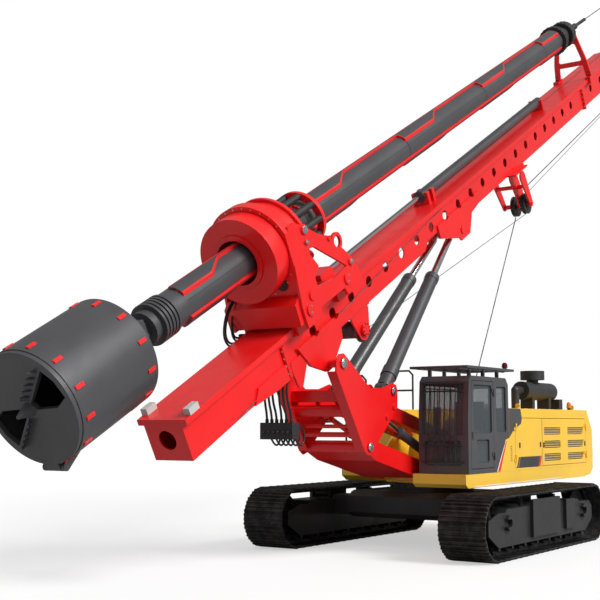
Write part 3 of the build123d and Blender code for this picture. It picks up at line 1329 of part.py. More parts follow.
def bucket():
    """The drilling bucket: a hollow drum hung by its square kelly box, with its opening gear."""
    shell = column(KELLY_N, 0, (BUCKET_BOTTOM, BUCKET_TOP), BUCKET_RADIUS)
    shell -= column(KELLY_N, 0, (BUCKET_BOTTOM - 1, BUCKET_TOP - 30), BUCKET_RADIUS - 22)
    shell += block((KELLY_N - 190, KELLY_N + 190), (-190, 190), (BUCKET_TOP - 1, 90))
    socket = KELLY_SQUARE + PIN_FIT
    shell -= block((KELLY_N - socket, KELLY_N + socket), (-socket, socket), (BUCKET_TOP - 31, 91))
    shell += cross_pin((KELLY_N, 30), 32, (-230, -180)) + cross_pin((KELLY_N, 30), 32, (180, 230))
    pads = 12
    for index in range(pads):
        for s in (BUCKET_TOP - 190, BUCKET_BOTTOM + 60):
            pad = block((BUCKET_RADIUS - 6, BUCKET_RADIUS + 14), (-25, 25), (s, s + 130))
            shell += Pos(KELLY_N, 0, 0) * Rot(0, 0, 360 / pads * index + 15) * pad
    # the opening gear on top: a hooked lever on its post and a stop pin
    shell += lug([(KELLY_N - 560, BUCKET_TOP + 40, 45), (KELLY_N - 420, BUCKET_TOP + 190, 40)], (150, 190))
    shell += lug([(KELLY_N - 420, BUCKET_TOP + 190, 40), (KELLY_N - 300, BUCKET_TOP + 150, 28)], (150, 190))
    shell += column(KELLY_N - 330, 330, (BUCKET_TOP - 1, BUCKET_TOP + 150), 48)
    for y in (-170, 120):
        hinge_n, hinge_s = GATE_HINGE
        discs = [(hinge_n, hinge_s, 45), (hinge_n + 70, hinge_s + 90, 30), (hinge_n + 70, hinge_s + 250, 20)]
        ear = lug(discs, (y, y + 50))
        shell += ear - column(KELLY_N, 0, (BUCKET_BOTTOM - 60, BUCKET_TOP), BUCKET_RADIUS - 20)
    shell += cross_pin(GATE_HINGE, GATE_PIN_RADIUS, (-170, 170))
    return MAST_PLACE * shell


def bucket_gate():
    """The hinged bottom of the bucket with its two soil mouths, teeth and pilot bit."""
    low = BUCKET_BOTTOM - 62
    hinge_n = GATE_HINGE[0]
    gate = column(KELLY_N, 0, (low, BUCKET_BOTTOM - PIN_FIT), BUCKET_RADIUS - 10)
    knuckle = lug([(*GATE_HINGE, 45), (hinge_n + 130, low + 31, 31)], (-110, 110))
    above = (BUCKET_BOTTOM - PIN_FIT, BUCKET_BOTTOM + 60)
    knuckle -= block((hinge_n + 30, hinge_n + 300), (-111, 111), above)
    gate += knuckle
    gate -= cross_pin(GATE_HINGE, GATE_PIN_RADIUS + 2 * PIN_FIT, (-111, 111))
    corners = [(90, 0), (600, 0), (590, 190), (500, 380), (300, 330), (80, 100)]
    teeth = 5
    for turn in (MOUTH_TURN, MOUTH_TURN + 180):
        place = Pos(KELLY_N, 0) * Rot(0, 0, turn)
        mouth = Plane.XY.offset(low - 1) * place * Polygon(*corners, align=None)
        gate -= extrude(mouth, amount=80, dir=(0, 0, 1))
        for step in range(teeth):
            n = 140 + 95 * step
            edge = Plane.XY.offset(low - 90) * place * Pos(n, -95) * Rectangle(45, 14)
            root = Plane.XY.offset(low + 10) * place * Pos(n, -50) * Rectangle(55, 60)
            gate += loft([edge, root])
    point = (Align.CENTER, Align.CENTER, Align.MAX)
    gate += Plane.XY.offset(low + 1) * Pos(KELLY_N, 0) * Cone(20, 90, 190, align=point)
    return MAST_PLACE * gate


NODES = {
    "car_body": car_body,
    "slew_ring": slew_ring,
    "track_frame_left": lambda: [track_frame(1)] + top_rollers(1),
    "track_frame_right": lambda: [track_frame(-1)] + top_rollers(-1),
    "running_gear_left": lambda: running_gear(1),
    "running_gear_right": lambda: running_gear(-1),
    "track_left": lambda: track(1),
    "track_right": lambda: track(-1),
    "platform": platform,
    "counterweight": counterweight,
    "engine": engine,
    "cab_shell": cab_shell,
    "cab_glass": cab_glass,
    "cab_door": cab_door,
    "door_glass": door_glass,
    "cab_interior": cab_interior,
    "roof_guard": roof_guard,
    "left_hood": left_hood,
    "hood_door_front": lambda: hood_door("front"),
    "hood_door_rear": lambda: hood_door("rear"),
    "right_body": right_body,
    "tool_box": tool_box,
    "air_cleaner": air_cleaner,
    "handrails": handrails,
    "winch_frame": winch_frame,
    "winch_drum": winch_drum,
    "boom": boom,
    "upper_struts": lambda: [strut(1), strut(-1)],
    "triangle_frame": triangle,
    "luff_barrels": luff_barrels,
    "luff_rods": luff_rods,
    "mast_barrels": mast_barrels,
    "mast_rod_left": lambda: mast_rod(1),
    "mast_rod_right": lambda: mast_rod(-1),
    "mast_foot": mast_foot,
    "mast_middle": mast_middle,
    "mast_top": mast_top,
    "mast_head": mast_head,
    "head_sheave_front": lambda: head_sheave("head_sheave_front"),
    "head_sheave_rear": lambda: head_sheave("head_sheave_rear"),
    "guide_bracket": guide_bracket,
    "guide_sheave_main": lambda: guide_sheave("guide_sheave_main"),
    "guide_sheave_auxiliary": lambda: guide_sheave("guide_sheave_auxiliary"),
    "auxiliary_winch_frame": auxiliary_winch_frame,
    "auxiliary_winch_drum": auxiliary_winch_drum,
    "crowd_barrel": crowd_barrel,
    "crowd_rod": crowd_rod,
    "carriage": carriage,
    "power_head": power_head,
    "drive_head": drive_head,
    "kelly_guide": kelly_guide,
    "kelly_bar": kelly,
    "rope_swivel": rope_swivel,
    "bucket": bucket,
    "bucket_gate": bucket_gate,
}


def solids_of(made):
    """A node's shape from one piece or from a list of pieces that don't touch."""
    pieces = made if isinstance(made, list) else [made]
    return Compound(children=[solid for piece in pieces for solid in piece.solids()])


shapes = {name: solids_of(make()) for name, make in NODES.items()}
extent = Compound(children=[Compound(shape.wrapped) for shape in shapes.values()]).bounding_box()
SHIFT = (-(extent.min.X + extent.max.X) / 2, -(extent.min.Y + extent.max.Y) / 2, -extent.min.Z)

os.makedirs("parts", exist_ok=True)
for name, shape in shapes.items():
    export_step(Pos(*SHIFT) * shape, f"parts/{name}.step")
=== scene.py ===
# %% [markdown]
# # A rotary piling rig
# This lesson dresses a finished construction model of a piling rig: a crawler machine with a
# yellow slewing body, a charcoal cab and a red mast that leans back over both.
# The construction model already has every part at its real size, so nothing here moves or
# resizes one. Blender adds what a builder's yard would see from a few steps away: paint,
# chrome, rubber, bolts, seams, hoses and ropes.

# %% Load the construction model
import json
import math

import bmesh
import bpy
from mathutils import Matrix, Vector


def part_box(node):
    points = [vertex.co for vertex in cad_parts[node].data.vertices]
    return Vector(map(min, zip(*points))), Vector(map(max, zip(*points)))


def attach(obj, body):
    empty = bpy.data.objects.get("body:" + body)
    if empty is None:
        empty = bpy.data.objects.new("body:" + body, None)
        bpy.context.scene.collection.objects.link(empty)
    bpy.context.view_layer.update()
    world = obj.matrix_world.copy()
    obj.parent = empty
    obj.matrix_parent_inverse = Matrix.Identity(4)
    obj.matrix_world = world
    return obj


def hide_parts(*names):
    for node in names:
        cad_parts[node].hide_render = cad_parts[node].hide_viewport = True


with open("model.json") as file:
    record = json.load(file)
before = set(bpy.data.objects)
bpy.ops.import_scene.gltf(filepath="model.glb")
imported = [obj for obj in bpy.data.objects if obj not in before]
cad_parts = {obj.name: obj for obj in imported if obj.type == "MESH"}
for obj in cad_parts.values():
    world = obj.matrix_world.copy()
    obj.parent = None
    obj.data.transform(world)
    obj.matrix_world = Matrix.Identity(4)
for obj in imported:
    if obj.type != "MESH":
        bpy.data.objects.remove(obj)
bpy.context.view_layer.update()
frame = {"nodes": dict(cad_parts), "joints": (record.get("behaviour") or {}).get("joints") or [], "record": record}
nodes = frame["nodes"]
joints = {joint["name"]: joint for joint in frame["joints"]}
scene = bpy.context.scene

# %% [markdown]
# Every place on the machine is easier to say from its slew axis, the upright line about which
# the upper body turns, than from the middle of the whole. The model's slewing joint gives that
# axis, so a helper turns a place on the machine into a place in the scene.

# %% The machine's own axes
slew_axis = Vector(joints["slew"]["pos_m"])
MACHINE = Matrix.Translation((slew_axis.x, slew_axis.y, 0.0))
print("slew axis", tuple(round(value, 3) for value in slew_axis))

# %% [markdown]
# The mast leans back, so its pieces are drawn upright in its own axes: n forward, y to the
# left and s up from the foot. One matrix then lays them on the leaning mast. It comes from the
# hinge that tilts the mast and the line along which the drive slides.

# %% The mast's own axes
MAST_HINGE_N, MAST_HINGE_S = -0.300, 3.350
mast_up = Vector(joints["crowd"]["axis"])
mast_out = Vector((0, 1, 0)).cross(mast_up)
mast_turn = Matrix((mast_out, (0, 1, 0), mast_up)).transposed().to_4x4()
mast_hinge = Vector(joints["mast_tilt"]["pos_m"])
MAST = Matrix.Translation(mast_hinge) @ mast_turn @ Matrix.Translation((-MAST_HINGE_N, 0, -MAST_HINGE_S))
print("mast foot", tuple(round(value, 3) for value in MAST.translation))

# %% [markdown]
# The camera stands low in front of the machine, on its left, and looks up a little. A long
# lens keeps the far track nearly as large as the near one.

# %% Camera
CAMERA_PLACE = (18.103, 9.421, 2.071)
CAMERA_TURN = 34.021
CAMERA_LIFT = 6.263
LENS = 68.14
camera = bpy.data.objects.new("camera", bpy.data.cameras.new("camera"))
scene.collection.objects.link(camera)
camera.data.lens = LENS
camera.data.sensor_width = 36.0
camera.data.clip_end = 400.0
camera.location = MACHINE @ Vector(CAMERA_PLACE)
camera.rotation_euler = (math.radians(90 + CAMERA_LIFT), 0, math.radians(90 + CAMERA_TURN))
scene.camera = camera
print("camera at", tuple(round(value, 2) for value in camera.location))

# %% [markdown]
# The background is plain white, but only to the camera. Where the world lights the object it is
# dimmer, most of all low down, and it is dim in reflections. So the paint keeps its colour and
# the undersides stay dark.

# %% World
SKY_LIGHT = 0.80
LOW_LIGHT = 0.22
GLOSS_LIGHT = 0.28
world = bpy.data.worlds.new("studio")
scene.world = world
world.use_nodes = True
tree = world.node_tree
tree.nodes.clear()
path = tree.nodes.new("ShaderNodeLightPath")
seen = tree.nodes.new("ShaderNodeMath")
seen.operation = "MAXIMUM"
tree.links.new(path.outputs["Is Camera Ray"], seen.inputs[0])
tree.links.new(path.outputs["Is Transmission Ray"], seen.inputs[1])
sky = tree.nodes.new("ShaderNodeBackground")
sky.inputs["Color"].default_value = (1, 1, 1, 1)
where = tree.nodes.new("ShaderNodeTexCoord")
height = tree.nodes.new("ShaderNodeSeparateXYZ")
# the low light reaches a little below the horizon
brighter = tree.nodes.new("ShaderNodeMapRange")
for socket, number in (("From Min", -0.2), ("From Max", 1.0), ("To Min", LOW_LIGHT), ("To Max", SKY_LIGHT)):
    brighter.inputs[socket].default_value = number
tree.links.new(where.outputs["Generated"], height.inputs[0])
tree.links.new(height.outputs["Z"], brighter.inputs["Value"])
tree.links.new(brighter.outputs["Result"], sky.inputs["Strength"])
backdrop = tree.nodes.new("ShaderNodeBackground")
backdrop.inputs["Color"].default_value = (1, 1, 1, 1)
backdrop.inputs["Strength"].default_value = 1.0
mix = tree.nodes.new("ShaderNodeMixShader")
out = tree.nodes.new("ShaderNodeOutputWorld")
gloss = tree.nodes.new("ShaderNodeBackground")
gloss.inputs["Color"].default_value = (1, 1, 1, 1)
gloss.inputs["Strength"].default_value = GLOSS_LIGHT
softer = tree.nodes.new("ShaderNodeMixShader")
tree.links.new(path.outputs["Is Glossy Ray"], softer.inputs[0])
tree.links.new(sky.outputs[0], softer.inputs[1])
tree.links.new(gloss.outputs[0], softer.inputs[2])
tree.links.new(seen.outputs[0], mix.inputs[0])
tree.links.new(softer.outputs[0], mix.inputs[1])
tree.links.new(backdrop.outputs[0], mix.inputs[2])
tree.links.new(mix.outputs[0], out.inputs["Surface"])
scene.view_settings.view_transform = "Standard"
print("world light", SKY_LIGHT, LOW_LIGHT)

# %% [markdown]
# One broad sun stands high on the machine's left. Its wide disc gives the soft shadow of a
# studio, and its side is the one that is bright in the picture. The front stays in half shade.

# %% Lamps
def sun(name, towards, energy, spread):
    """A sun whose light comes from a direction, with the width of its disc in degrees."""
    lamp = bpy.data.objects.new(name, bpy.data.lights.new(name, "SUN"))
    lamp.data.energy = energy
    lamp.data.angle = math.radians(spread)
    lamp.rotation_euler = Vector(towards).to_track_quat("Z", "Y").to_euler()
    scene.collection.objects.link(lamp)
    return lamp


key = sun("key", (-0.06, 0.80, 0.62), 3.3, 24)
print("lamp", key.data.energy)

# %% [markdown]
# The floor is pale and nearly as bright as the backdrop. Part of its light is its own and only
# for the camera, so the floor meets the white background, and the rest shows the shadow. It
# throws back less light than it shows, so that it doesn't brighten the undersides.

# %% Floor
FLOOR_REACH = 120.0
OWN_LIGHT = 0.52
SHOWN_GREY, THROWN_GREY = 0.82, 0.35
floor_mesh = bmesh.new()
bmesh.ops.create_grid(floor_mesh, x_segments=1, y_segments=1, size=FLOOR_REACH)
floor_data = bpy.data.meshes.new("floor")
floor_mesh.to_mesh(floor_data)
floor_mesh.free()
floor = bpy.data.objects.new("floor", floor_data)
scene.collection.objects.link(floor)
pale = bpy.data.materials.new("pale_floor")
pale.use_nodes = True
tree = pale.node_tree
tree.nodes.clear()
path = tree.nodes.new("ShaderNodeLightPath")
share = tree.nodes.new("ShaderNodeMath")
share.operation = "MULTIPLY"
share.inputs[1].default_value = OWN_LIGHT
tree.links.new(path.outputs["Is Camera Ray"], share.inputs[0])
matt = tree.nodes.new("ShaderNodeBsdfDiffuse")
grey = tree.nodes.new("ShaderNodeMapRange")
grey.inputs["To Min"].default_value = THROWN_GREY
grey.inputs["To Max"].default_value = SHOWN_GREY
tree.links.new(path.outputs["Is Camera Ray"], grey.inputs["Value"])
tree.links.new(grey.outputs["Result"], matt.inputs["Color"])
glow = tree.nodes.new("ShaderNodeEmission")
glow.inputs["Strength"].default_value = 1.0
mix = tree.nodes.new("ShaderNodeMixShader")
out = tree.nodes.new("ShaderNodeOutputMaterial")
tree.links.new(share.outputs[0], mix.inputs[0])
tree.links.new(matt.outputs[0], mix.inputs[1])
tree.links.new(glow.outputs[0], mix.inputs[2])
tree.links.new(mix.outputs[0], out.inputs["Surface"])
floor_data.materials.append(pale)
print("floor", FLOOR_REACH)

# %% [markdown]
# Paint on such a machine is thick and glossy, with a faint ripple like an orange's skin. Its
# colour drifts a little over a panel. The ripple and the drift come from noise in the part's
# own metres, so they have the same size on every part.

# %% Paint
def noise(tree, scale, detail=2.0):
    """Noise measured in metres of the part."""
    place = tree.nodes.new("ShaderNodeTexCoord")
    texture = tree.nodes.new("ShaderNodeTexNoise")
    texture.inputs["Scale"].default_value = scale
    texture.inputs["Detail"].default_value = detail
    tree.links.new(place.outputs["Object"], texture.inputs["Vector"])
    return texture.outputs["Fac"]


def spread(tree, value, low, high, at_low=0.0, at_high=1.0):
    """Maps one range of a value to another, and stops at the ends."""
    step = tree.nodes.new("ShaderNodeMapRange")
    for socket, number in (("From Min", low), ("From Max", high), ("To Min", at_low), ("To Max", at_high)):
        step.inputs[socket].default_value = number
    tree.links.new(value, step.inputs["Value"])
    return step.outputs["Result"]


def blend_colours(tree, share, first, second):
    """A colour between two, by a share from 0 to 1. Each may be a colour or a socket."""
    step = tree.nodes.new("ShaderNodeMix")
    step.data_type = "RGBA"
    tree.links.new(share, step.inputs["Factor"])
    for socket, colour in ((step.inputs[6], first), (step.inputs[7], second)):
        if isinstance(colour, bpy.types.NodeSocket):
            tree.links.new(colour, socket)
        else:
            socket.default_value = (*colour, 1)
    return step.outputs[2]


def bumpy(tree, shader, height, depth, edge=0.0):
    """Raises the surface by a height, and rounds sharp edges by a radius."""
    bump = tree.nodes.new("ShaderNodeBump")
    bump.inputs["Distance"].default_value = depth
    bump.inputs["Strength"].default_value = 1.0
    tree.links.new(height, bump.inputs["Height"])
    if edge:
        round_edge = tree.nodes.new("ShaderNodeBevel")
        round_edge.samples = 4
        round_edge.inputs["Radius"].default_value = edge
        tree.links.new(round_edge.outputs["Normal"], bump.inputs["Normal"])
    tree.links.new(bump.outputs["Normal"], shader.inputs["Normal"])


def new_finish(name, roughness, metallic=0.0, coat=0.0):
    """An empty material with its shader, and the values that are the same all over."""
    material = bpy.data.materials.new(name)
    material.use_nodes = True
    shader = material.node_tree.nodes["Principled BSDF"]
    shader.inputs["Roughness"].default_value = roughness
    shader.inputs["Metallic"].default_value = metallic
    shader.inputs["Coat Weight"].default_value = coat
    shader.inputs["Coat Roughness"].default_value = 0.12
    return material, material.node_tree, shader


def paint(name, colour, roughness=0.3, coat=0.5, drift=0.10, edge=0.008):
    """Thick machine paint with a slow drift of colour and a fine ripple."""
    material, tree, shader = new_finish(name, roughness, coat=coat)
    darker = tuple(value * (1 - 2 * drift) for value in colour)
    slow = spread(tree, noise(tree, 0.9, 3.0), 0.35, 0.7)
    colour_socket = blend_colours(tree, slow, colour, darker)
    tree.links.new(colour_socket, shader.inputs["Base Color"])
    tree.links.new(spread(tree, noise(tree, 3.0, 4.0), 0.3, 0.7, roughness - 0.06, roughness + 0.10),
                   shader.inputs["Roughness"])
    bumpy(tree, shader, noise(tree, 160.0, 1.0), 0.0004, edge)
    return material


RED = (0.84, 0.006, 0.007)
YELLOW = (0.90, 0.545, 0.035)
CHARCOAL = (0.060, 0.060, 0.065)
red_paint = paint("red_paint", RED, 0.34, 0.25, 0.06)
yellow_paint = paint("yellow_paint", YELLOW, 0.34, 0.3, 0.04)
charcoal_paint = paint("charcoal_paint", CHARCOAL, 0.42, 0.2)
black_paint = paint("black_paint", (0.020, 0.020, 0.022), 0.5, 0.1)
print("paints", red_paint.name, yellow_paint.name, charcoal_paint.name, black_paint.name)

# %% [markdown]
# The track's steel is dark and rubbed brighter where it meets the ground. Chromed rods are
# mirror smooth. Rubber, plastic and cast parts are dull, each with its own grain.

# %% Steel, chrome, rubber and glass
def rough_metal(name, colour, rubbed, roughness=0.55, grain=40.0, depth=0.0015):
    """Cast or rolled steel: two tones in patches, with a rough grain."""
    material, tree, shader = new_finish(name, roughness, metallic=0.6)
    patches = spread(tree, noise(tree, 7.0, 6.0), 0.42, 0.68)
    tree.links.new(blend_colours(tree, patches, colour, rubbed), shader.inputs["Base Color"])
    tree.links.new(spread(tree, noise(tree, 15.0, 3.0), 0.3, 0.7, roughness - 0.1, roughness + 0.15),
                   shader.inputs["Roughness"])
    bumpy(tree, shader, noise(tree, grain, 4.0), depth, 0.005)
    return material


def polished(name, colour, roughness):
    """Bright bare metal with fine rubbing marks."""
    material, tree, shader = new_finish(name, roughness, metallic=1.0)
    shader.inputs["Base Color"].default_value = (*colour, 1)
    tree.links.new(spread(tree, noise(tree, 25.0, 3.0), 0.3, 0.7, roughness * 0.7, roughness * 1.6),
                   shader.inputs["Roughness"])
    bumpy(tree, shader, noise(tree, 300.0, 1.0), 0.0001)
    return material


def dull(name, colour, roughness, grain, depth):
    """Rubber or moulded plastic with a fine grain."""
    material, tree, shader = new_finish(name, roughness)
    lighter = tuple(value * 1.35 + 0.003 for value in colour)
    patches = spread(tree, noise(tree, 5.0, 4.0), 0.4, 0.75)
    tree.links.new(blend_colours(tree, patches, colour, lighter), shader.inputs["Base Color"])
    bumpy(tree, shader, noise(tree, grain, 2.0), depth, 0.004)
    return material


def tinted_glass():
    """Window glass with a grey tint, clean but for a faint haze."""
    material, tree, shader = new_finish("window_glass", 0.04)
    shader.inputs["Base Color"].default_value = (0.10, 0.12, 0.13, 1)
    shader.inputs["Alpha"].default_value = 0.42
    haze = spread(tree, noise(tree, 4.0, 4.0), 0.4, 0.8, 0.03, 0.12)
    tree.links.new(haze, shader.inputs["Roughness"])
    return material


track_steel = rough_metal("track_steel", (0.030, 0.029, 0.029), (0.075, 0.070, 0.068), 0.5)
dark_steel = rough_metal("dark_steel", (0.035, 0.035, 0.037), (0.06, 0.06, 0.062), 0.5)
chromed_rod = polished("chromed_rod", (0.78, 0.79, 0.81), 0.12)
bright_steel = polished("bright_steel", (0.62, 0.63, 0.65), 0.28)
rope_steel = rough_metal("rope_steel", (0.10, 0.10, 0.105), (0.20, 0.20, 0.21), 0.45, 60.0, 0.001)
black_plastic = dull("black_plastic", (0.022, 0.022, 0.024), 0.5, 220.0, 0.0004)
hose_rubber = dull("hose_rubber", (0.012, 0.012, 0.013), 0.45, 260.0, 0.0003)
window_glass = tinted_glass()
print("metals and rubber done")

# %% [markdown]
# Each part of the construction model now takes its finish. The record names a slot for every
# part, so the same word picks the material.

# %% Finishes of the construction parts
slot_finish = {
    "red_paint": red_paint,
    "yellow_paint": yellow_paint,
    "charcoal_paint": charcoal_paint,
    "black_paint": black_paint,
    "dark_steel": dark_steel,
    "track_steel": track_steel,
    "chromed_rod": chromed_rod,
    "rope_steel": rope_steel,
    "black_plastic": black_plastic,
    "window_glass": window_glass,
}
for part in frame["record"]["subparts"]:
    mesh = nodes[part["node"]].data
    mesh.materials.clear()
    mesh.materials.append(slot_finish[part["material_slot"]])

# %% [markdown]
# Some parts of the construction model are one solid with two colours, such as the red drive
# keys on the charcoal kelly bar. A second material slot on the part takes the faces that pass
# a test of their place, and the mesh itself stays as it is.

# %% A second finish on some faces
def into_mast(point):
    """A scene point in the mast's own axes n, y, s."""
    return MAST.inverted() @ point


def colour_faces(node, finish, test):
    """Gives a finish to the faces of a part whose middle passes a test, and counts them."""
    mesh = nodes[node].data
    mesh.materials.append(finish)
    slot = len(mesh.materials) - 1
    chosen = [face for face in mesh.polygons if test(face.center)]
    for face in chosen:
        face.material_index = slot
    print(node, finish.name, len(chosen), "faces")


KELLY_N = 1.720
KELLY_RADIUS = 0.254
KEY_RADIUS = 0.288
BUCKET_RADIUS = 0.700
RAIL_FRONT = 0.580
pad_grey = paint("pad_grey", (0.52, 0.51, 0.50), 0.5, 0.0, 0.05)


def from_kelly(point):
    """Distance of a point from the kelly bar's axis."""
    place = into_mast(point)
    return math.hypot(place.x - KELLY_N, place.y)


def is_key_edge(point):
    """True on the side faces of the kelly bar's raised drive keys."""
    along = into_mast(point).z
    return 0.9 <= along <= 16.05 and KELLY_RADIUS + 0.004 < from_kelly(point) < KEY_RADIUS - 0.004


def is_spring(point):
    """True on the black dampers that stand on the turning sleeve."""
    return 3.398 < into_mast(point).z < 4.119


def is_stop_pad(point):
    """True on the two pads at the foot of the mast's rails."""
    place = into_mast(point)
    return place.x > RAIL_FRONT + 0.002 and 0.11 < place.z < 0.33


colour_faces("kelly_bar", red_paint, is_key_edge)
colour_faces("kelly_bar", black_paint, lambda point: into_mast(point).z > 16.09)
colour_faces("bucket", red_paint, lambda point: 0.003 < from_kelly(point) - BUCKET_RADIUS < 0.020)
colour_faces("drive_head", black_plastic, is_spring)
colour_faces("mast_foot", pad_grey, is_stop_pad)

# %% [markdown]
# Most small pieces are plates, bars, pins and bolts, so a few helpers draw those into a mesh.
# A list of like things becomes one mesh: it is one piece to carry, as a set of bolts is in life.

# %% Plates, bars and bolts
def box_in(mesh, x, y, z):
    """Adds a box from three (low, high) ranges."""
    corners = [mesh.verts.new((x[i], y[j], z[k])) for i in (0, 1) for j in (0, 1) for k in (0, 1)]
    for a, b, c, d in ((0, 1, 3, 2), (4, 6, 7, 5), (0, 4, 5, 1), (2, 3, 7, 6), (0, 2, 6, 4), (1, 5, 7, 3)):
        mesh.faces.new((corners[a], corners[b], corners[c], corners[d]))


def plate_in(mesh, outline, y):
    """Adds a flat plate from its (x, z) outline, between two y values."""
    near = [mesh.verts.new((x, y[0], z)) for x, z in outline]
    far = [mesh.verts.new((x, y[1], z)) for x, z in outline]
    faces = [mesh.faces.new(near), mesh.faces.new(far[::-1])]
    count = len(outline)
    for i in range(count):
        j = (i + 1) % count
        faces.append(mesh.faces.new((near[j], near[i], far[i], far[j])))
    bmesh.ops.recalc_face_normals(mesh, faces=faces)


def rod_in(mesh, start, end, radius, sides=20, tip=None):
    """Adds a round bar between two points; a tip radius makes it a cone."""
    start, end = Vector(start), Vector(end)
    way = end - start
    place = Matrix.Translation((start + end) / 2) @ way.to_track_quat("Z", "Y").to_matrix().to_4x4()
    bmesh.ops.create_cone(mesh, cap_ends=True, segments=sides, radius1=radius,
                          radius2=radius if tip is None else tip, depth=way.length, matrix=place)


def bolt_in(mesh, place, way, size):
    """Adds a bolt: a washer and a six-sided head, standing on a place and pointing a way."""
    place, way = Vector(place), Vector(way).normalized()
    rod_in(mesh, place, place + way * size * 0.15, size * 0.95, 16)
    rod_in(mesh, place, place + way * size * 0.75, size * 0.62, 6)


def piece(name, mesh, finish, body, place=MACHINE, round_by=0.0, smooth=40):
    """Turns a mesh in the machine's or the mast's axes into a piece that rides on a body."""
    mesh.transform(place)
    data = bpy.data.meshes.new(name)
    mesh.to_mesh(data)
    mesh.free()
    data.shade_smooth()
    data.set_sharp_from_angle(angle=math.radians(smooth))
    for finish_part in finish if isinstance(finish, list) else [finish]:
        data.materials.append(finish_part)
    made = bpy.data.objects.new(name, data)
    scene.collection.objects.link(made)
    if round_by:
        edge = made.modifiers.new("edge", "BEVEL")
        edge.width = round_by
        edge.segments = 2
        edge.limit_method = "ANGLE"
    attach(made, body)
    print(name, "on", body, len(data.polygons), "faces")
    return made


def tube(name, points, radius, finish, body, place=MACHINE, tight=False):
    """A hose, pipe or rope along points: a smooth curve, or straight runs where it is tight."""
    curve = bpy.data.curves.new(name, "CURVE")
    curve.dimensions = "3D"
    curve.bevel_depth = radius
    curve.bevel_resolution = 3
    curve.use_fill_caps = True
    line = curve.splines.new("POLY" if tight else "NURBS")
    line.points.add(len(points) - 1)
    for spot, point in zip(line.points, points):
        spot.co = (*(place @ Vector(point)), 1)
    if not tight:
        line.order_u = 3
        line.use_endpoint_u = True
        line.resolution_u = 6
    curve.materials.append(finish)
    made = bpy.data.objects.new(name, curve)
    scene.collection.objects.link(made)
    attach(made, body)
    return made


print("helpers ready")

# %% [markdown]
# The track of the construction model is one plain loop. On the real machine each shoe is a
# rolled plate with three ribs across it, bolted to two rows of chain links. A loop of such
# shoes takes the plain loop's place, bent round the two wheels by the same path.

# %% Track shoes and chain
SHOES = 52
SHOE_RIB = 0.030
# the ribs fall by END_SLOPE over the last END_RUN of a shoe's width
END_RUN, END_SLOPE = 0.02, 0.012
CHAIN_INSET = 0.30
LINK_HALF = 0.022
SHOE_BOLT = 0.016
near_low, near_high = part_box("track_left")
track_middle_x = (near_low.x + near_high.x) / 2 - slew_axis.x
wheel_z = (near_low.z + near_high.z) / 2
wheel_x = (near_high.x - near_low.x) / 2 - wheel_z


def loop_frame(travel):
    """The point and the outward way of the shoes' path, at a distance along it."""
    radius = wheel_z - SHOE_RIB
    run, bend = 2 * wheel_x, math.pi * radius
    travel = travel % (2 * run + 2 * bend)
    if travel < run:
        return Vector((-wheel_x + travel, 0, wheel_z - radius)), Vector((0, 0, -1))
    if travel < run + bend:
        turn = (travel - run) / radius - math.pi / 2
        out = Vector((math.cos(turn), 0, math.sin(turn)))
        return Vector((wheel_x, 0, wheel_z)) + out * radius, out
    if travel < 2 * run + bend:
        return Vector((wheel_x - (travel - run - bend), 0, wheel_z + radius)), Vector((0, 0, 1))
    turn = (travel - 2 * run - bend) / radius + math.pi / 2
    out = Vector((math.cos(turn), 0, math.sin(turn)))
    return Vector((-wheel_x, 0, wheel_z)) + out * radius, out


# share of a shoe's length, height above its plate
shoe_profile = [
    (-0.47, -0.012), (-0.47, 0.000), (-0.40, 0.000), (-0.37, 0.030), (-0.31, 0.030), (-0.28, 0.000),
    (-0.06, 0.000), (-0.03, 0.026), (0.03, 0.026), (0.06, 0.000), (0.28, 0.000), (0.31, 0.026),
    (0.37, 0.026), (0.40, 0.000), (0.46, 0.000), (0.47, -0.014), (0.57, -0.017), (0.57, -0.024),
]
# share of a shoe's length, depth below its plate
link_outline = ((-0.56, 0.022), (0.56, 0.022), (0.50, 0.085), (-0.50, 0.085))
loop_length = 4 * wheel_x + 2 * math.pi * (wheel_z - SHOE_RIB)
pitch = loop_length / SHOES


